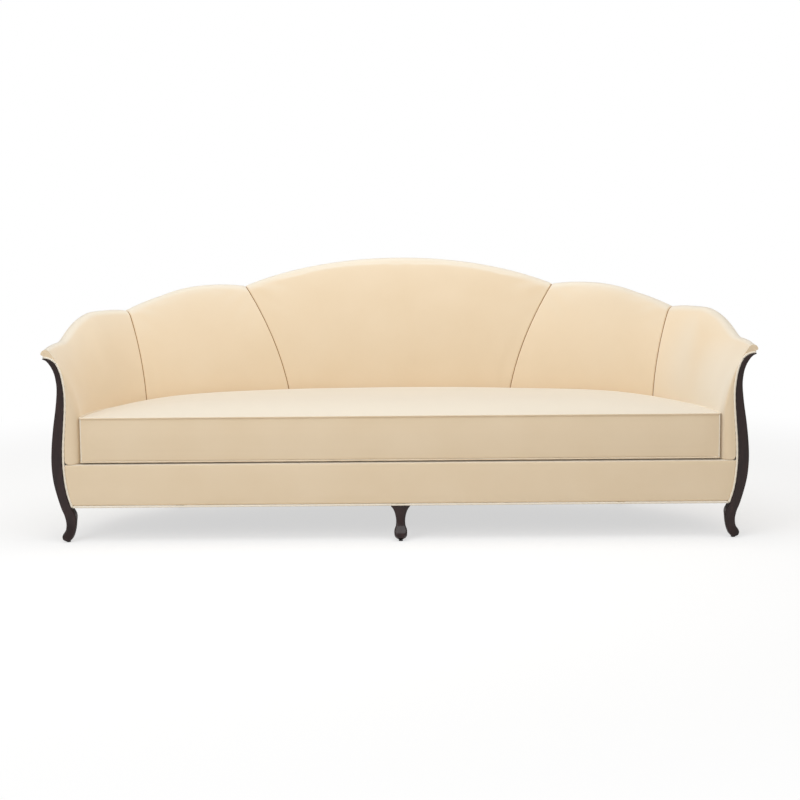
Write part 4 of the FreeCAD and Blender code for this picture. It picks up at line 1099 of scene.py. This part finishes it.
def crestCorner(s):
    thick, high = (along(s, list(zip((outerSeam, noseStart), webLook[key]))) for key in ("railThick", "railHigh"))
    outer = rollRadius(s) - webLook["railBelow"]
    top = -rollRadius(s) / 4
    low, up = rollPoint(s, outer - thick, top + high), rollPoint(s, outer - thick, top)
    return low, ((low[0] + up[0]) / 2, (low[1] + up[1]) / 2)


def makeWebbing():
    places = [innerSeam * t for t in (-0.4, 0.0, 0.36, 0.7)]
    places += [innerSeam + (outerSeam - innerSeam) * t for t in (0.15, 0.32, 0.5, 0.68, 0.85)]
    places += [outerSeam + (noseStart - outerSeam) * t for t in (0.22, 0.36, 0.5, 0.64, 0.78)]
    places = [s for s in places if s > 0.02]
    points, faces = [], []
    for s in places:
        knee = along(s, [(outerSeam, kneeRear), (noseStart, kneeFront)])
        low, head = crestCorner(s)
        path = evenly([(frameFace, webLook["lap"]), (frameFace, knee), low, head], 16)
        near = shiftedPath(path, -webLook["play"])
        far = shiftedPath(path, -webLook["play"] - webLook["thickness"])[::-1]
        for side in (1, -1):
            first = len(points)
            for k in (-0.5, -0.25, 0.0, 0.25, 0.5):
                points += [place(side * (s + webLook["width"] * k), p, z) for p, z in near + far]
            faces += [tuple(first + i for i in face) for face in ringFaces(5, 32)]
    piece = makePiece("webbing", points, faces, juteCloth, smooth=False)
    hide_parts("back_webbing")
    return piece


makeWebbing()


# show wood

woodLook = {
    "edge": 0.0045,
    "stileFront": -0.004,
    "stileBack": 0.041,
}
footStations = [
    (0.0510, 0.0035, 0.0625, 0.009, -0.013, 0.010), (0.0425, 0.0035, 0.0645, 0.019, -0.016, 0.016),
    (0.0330, 0.009, 0.0610, 0.029, -0.014, 0.020), (0.0265, 0.024, 0.0545, 0.038, -0.010, 0.024),
    (0.0220, 0.044, 0.0520, 0.050, -0.006, 0.028), (0.0200, 0.066, 0.0525, 0.068, -0.004, 0.031),
    (0.0200, 0.090, 0.0580, 0.091, -0.004, 0.036)]
centreStations = [
    (-0.038, 0.013, -0.018, 0.0035, 0.009), (-0.035, 0.026, -0.007, 0.009, 0.020),
    (-0.022, 0.039, 0.006, 0.025, 0.0215), (-0.011, 0.051, 0.014, 0.043, 0.0165),
    (-0.006, 0.066, 0.021, 0.062, 0.0153), (-0.004, 0.086, 0.029, 0.084, 0.0185),
    (-0.0035, 0.102, 0.038, 0.101, 0.0245), (-0.0035, 0.114, 0.046, 0.114, 0.0335)]


def roundedRing(centre, sideWay, halfSide, depthWay, halfDepth, edge):
    edge = min(edge, halfSide * 0.7, halfDepth * 0.7)
    ring = []
    for cornerA, cornerB, turn in ((1, 1, 0), (-1, 1, 90), (-1, -1, 180), (1, -1, 270)):
        for k in range(5):
            a = math.radians(turn + 90 * k / 4)
            ring.append(centre
                        + sideWay * (cornerA * (halfSide - edge) + edge * math.cos(a))
                        + depthWay * (cornerB * (halfDepth - edge) + edge * math.sin(a)))
    return ring


legLook = {
    "foot": 0.0035,  # the wood starts above the glide
    "top": 0.1257,
    "rearOut": 0.060,
    "rearSize": (0.040, 0.028),  # at the top and at the foot
    "rearKnee": 0.018,  # rake half way down
    "rearRake": 0.062,
    "centreBlock": {"low": 0.1145, "y": 0.030, "halfWidth": 0.028, "halfDepth": 0.0163},
}


def makeStile():
    rows = footStations + [(*row, woodLook["stileFront"], woodLook["stileBack"]) for row in stileEdges]
    rows = smoothPath(rows, 110)
    points = []
    for ix, iz, ox, oz, front, back in rows:
        inner = Vector((seatPlan["halfWidth"] + ix, 0, max(iz, legLook["foot"])))
        outer = Vector((seatPlan["halfWidth"] + ox, 0, max(oz, legLook["foot"])))
        sideWay = (outer - inner).normalized()
        half = (outer - inner).length / 2
        centre = (inner + outer) / 2 + Vector((0, (front + back) / 2 + seatPlan["toMiddle"], 0))
        points += roundedRing(centre, sideWay, half, Vector((0, 1, 0)), (back - front) / 2, woodLook["edge"])
    piece = makePiece("stileRight", points, ringFaces(len(rows), 20), showWood)
    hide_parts("stile_leg_right")
    return subdivide(piece)


def makeCentreLeg():
    rows = smoothPath(centreStations, 40)
    points = []
    for fy, fz, by, bz, half in rows:
        front, back = Vector((0, fy, fz)), Vector((0, by, bz))
        way = (back - front).normalized()
        centre = (front + back) / 2 + Vector((0, seatPlan["toMiddle"], 0))
        points += roundedRing(centre, Vector((1, 0, 0)), half, way, (back - front).length / 2, 0.006)
    block = legLook["centreBlock"]
    for z in (block["low"], legLook["top"]):
        points += roundedRing(Vector((0, block["y"] + seatPlan["toMiddle"], z)), Vector((1, 0, 0)),
                              block["halfWidth"], Vector((0, 1, 0)), block["halfDepth"], 0.003)
    piece = makePiece("centreLeg", points, ringFaces(len(rows) + 2, 20), showWood)
    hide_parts("centre_front_leg")
    return subdivide(piece)


def makeRearLeg(name, s, node):
    base, outward, tangent = planFrame(s)
    top = base + outward * legLook["rearOut"]
    foot, height, kneeRake = legLook["foot"], legLook["top"], legLook["rearKnee"]
    topSize, footSize = legLook["rearSize"]
    points = []
    for i in range(25):
        f = i / 24
        z = height + (foot - height) * f
        rake = kneeRake * (f / 0.5) ** 1.3
        if f >= 0.5:
            rake = kneeRake + (legLook["rearRake"] - kneeRake) * ((f - 0.5) / 0.5) ** 1.1
        size = topSize + (footSize - topSize) * f
        points += roundedRing(top + outward * rake + Vector((0, 0, z)), tangent, size / 2, outward, size / 2, 0.003)
    piece = makePiece(name, points, ringFaces(25, 20), showWood)
    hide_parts(node)
    return subdivide(piece)


stileRight = makeStile()
stileLeft = mirroredPiece(stileRight, "stileLeft")
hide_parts("stile_leg_left")
makeCentreLeg()
rearPlace = outerSeam - 0.140
makeRearLeg("rearLegCentre", 0.0, "rear_leg_centre")
makeRearLeg("rearLegRight", rearPlace, "rear_leg_right")
makeRearLeg("rearLegLeft", -rearPlace, "rear_leg_left")
print("wood carved")


# zip on the back of the cushion

zipLook = {"halfAngle": 9.0, "width": 0.0068, "z": 0.343, "teethEvery": 0.0042}


def makeZip():
    half, rear, corner = (seatPlan[key] - benchLook["gap"] for key in ("halfWidth", "depth", "cornerRadius"))
    cy, radius = sweepPlan(half, rear, corner)[1:3]
    length = 2 * math.radians(zipLook["halfAngle"]) * radius
    points = []
    count = 160
    for i in range(count + 1):
        a = math.radians(zipLook["halfAngle"]) * (2 * i / count - 1)
        way = Vector((math.sin(a), math.cos(a), 0))
        centre = Vector((0, cy + seatPlan["toMiddle"], zipLook["z"]))
        for r, z in ((0.0010, -1), (0.0010, 0), (0.0010, 1), (-0.0004, 1), (-0.0004, 0), (-0.0004, -1)):
            points.append(centre + way * (radius + r) + Vector((0, 0, z * zipLook["width"] / 2)))
    tape = makePiece("zipTape", points, ringFaces(count + 1, 6), tapeCloth, "seat_cushion", smooth=False)
    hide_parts("cushion_zip")
    points, faces = [], []
    teeth = int(length / zipLook["teethEvery"]) - 4
    for i in range(teeth):
        a = (i - teeth / 2) * zipLook["teethEvery"] / radius
        way = Vector((math.sin(a), math.cos(a), 0))
        side = Vector((math.cos(a), -math.sin(a), 0))
        middle = Vector((0, cy + seatPlan["toMiddle"], zipLook["z"])) + way * (radius + 0.0014)
        middle += Vector((0, 0, 0.0006 if i % 2 else -0.0006))
        first = len(points)
        for h in (-1, 1):
            for w, t in ((-1, -1), (1, -1), (1, 1), (-1, 1)):
                points.append(middle + side * (w * 0.0013) + way * (t * 0.0006) + Vector((0, 0, h * 0.0014)))
        faces += [tuple(first + k for k in f) for f in
                  ((0, 3, 2, 1), (4, 5, 6, 7), (0, 1, 5, 4), (1, 2, 6, 5), (2, 3, 7, 6), (3, 0, 4, 7))]
    makePiece("zipTeeth", points, faces, brassTeeth, "seat_cushion", smooth=False)


makeZip()


# floor, light and camera

studio = {
    "worldStrength": 0.45,
    "worldColour": (1.0, 0.975, 0.94, 1),
    "paperShade": 0.40,  # how much of the paper's white comes from the lamps
    "paperGlow": 0.62,
    "paperNear": 1.7,  # beyond this distance the paper turns into plain white
    "paperFar": 3.2,
    "lampTarget": (0, 0, 0.45),
}
lamps = {
    "key": {"power": 62.0, "colour": (0.95, 0.985, 1.0), "place": (-3.0, -3.6, 3.2), "size": 2.6},
    "fill": {"power": 11.0, "colour": (1.0, 1.0, 1.0), "place": (2.6, -4.6, 1.8), "size": 3.2},
    "top": {"power": 60.0, "colour": (0.98, 0.99, 1.0), "place": (0.0, -0.4, 3.3), "size": 3.0},
}


def makeFloor():
    mesh = bpy.data.meshes.new("floor")
    mesh.from_pydata([(-30, -30, 0), (30, -30, 0), (30, 30, 0), (-30, 30, 0)], [], [(0, 1, 2, 3)])
    floor = bpy.data.objects.new("floor", mesh)
    scene.collection.objects.link(floor)
    material, tree, shader = newMaterial("floorPaper")
    feed(tree, shader, {"Base Color": (0.85, 0.85, 0.85, 1), "Roughness": 0.9, "Specular IOR Level": 0.0})
    shade = studio["paperShade"]
    near = addNode(tree, "BsdfDiffuse", {"Color": (shade, shade, shade, 1)})
    glow = addNode(tree, "Emission", {"Strength": studio["paperGlow"]})
    both = addNode(tree, "AddShader", {0: near.outputs[0], 1: glow.outputs[0]})
    white = addNode(tree, "Emission", {"Strength": 1.0})
    reach = addNode(tree, "VectorMath", {0: addNode(tree, "TexCoord").outputs["Object"]}, operation="LENGTH")
    fade = addNode(tree, "MapRange", {
        "From Min": studio["paperNear"], "From Max": studio["paperFar"], "Value": reach.outputs["Value"]},
        interpolation_type="SMOOTHSTEP")
    seen = addNode(tree, "MixShader", {0: fade.outputs["Result"], 1: both.outputs[0], 2: white.outputs[0]})
    forCamera = addNode(tree, "LightPath").outputs["Is Camera Ray"]
    surface = addNode(tree, "MixShader", {0: forCamera, 1: shader.outputs[0], 2: seen.outputs[0]})
    feed(tree, tree.nodes["Material Output"], {"Surface": surface.outputs[0]})
    mesh.materials.append(material)


def makeWorld():
    world = bpy.data.worlds.new("studio")
    scene.world = world
    world.use_nodes = True
    tree = world.node_tree
    light = tree.nodes["Background"]
    feed(tree, light, {"Color": studio["worldColour"], "Strength": studio["worldStrength"]})
    white = addNode(tree, "Background", {"Color": (1, 1, 1, 1), "Strength": 1.0})
    forCamera = addNode(tree, "LightPath").outputs["Is Camera Ray"]
    mix = addNode(tree, "MixShader", {0: forCamera, 1: light.outputs[0], 2: white.outputs[0]})
    feed(tree, tree.nodes["World Output"], {"Surface": mix.outputs[0]})


def makeLamp(name, look):
    light = bpy.data.lights.new(name, "AREA")
    light.shape = "SQUARE"
    light.size, light.energy, light.color = look["size"], look["power"], look["colour"]
    lamp = bpy.data.objects.new(name, light)
    lamp.location = look["place"]
    lamp.rotation_euler = (Vector(studio["lampTarget"]) - lamp.location).to_track_quat("-Z", "Y").to_euler()
    scene.collection.objects.link(lamp)


cameraLook = {
    "distance": 4.949,  # in front of the border
    "height": 1.1513,
    "pitch": 6.0,
    "roll": 0.45,
    "lens": 67.23,
    "shiftX": 0.0008,
    "shiftY": -0.0585,
}


def makeCamera():
    data = bpy.data.cameras.new("camera")
    data.lens = cameraLook["lens"]
    data.sensor_width = 36.0
    data.shift_x = cameraLook["shiftX"]
    data.shift_y = cameraLook["shiftY"]
    camera = bpy.data.objects.new("camera", data)
    camera.location = (0, seatPlan["toMiddle"] - cameraLook["distance"], cameraLook["height"])
    camera.rotation_mode = "QUATERNION"
    pitch = math.radians(cameraLook["pitch"])
    aim = Vector((0, math.cos(pitch), -math.sin(pitch)))
    turn = aim.to_track_quat("-Z", "Y")
    camera.rotation_quaternion = turn @ Quaternion((0, 0, 1), math.radians(-cameraLook["roll"]))
    scene.collection.objects.link(camera)
    scene.camera = camera


makeFloor()
makeWorld()
for lampName, lampLook in lamps.items():
    makeLamp(lampName, lampLook)
makeCamera()
scene.view_settings.view_transform = "Standard"
print("studio lit")
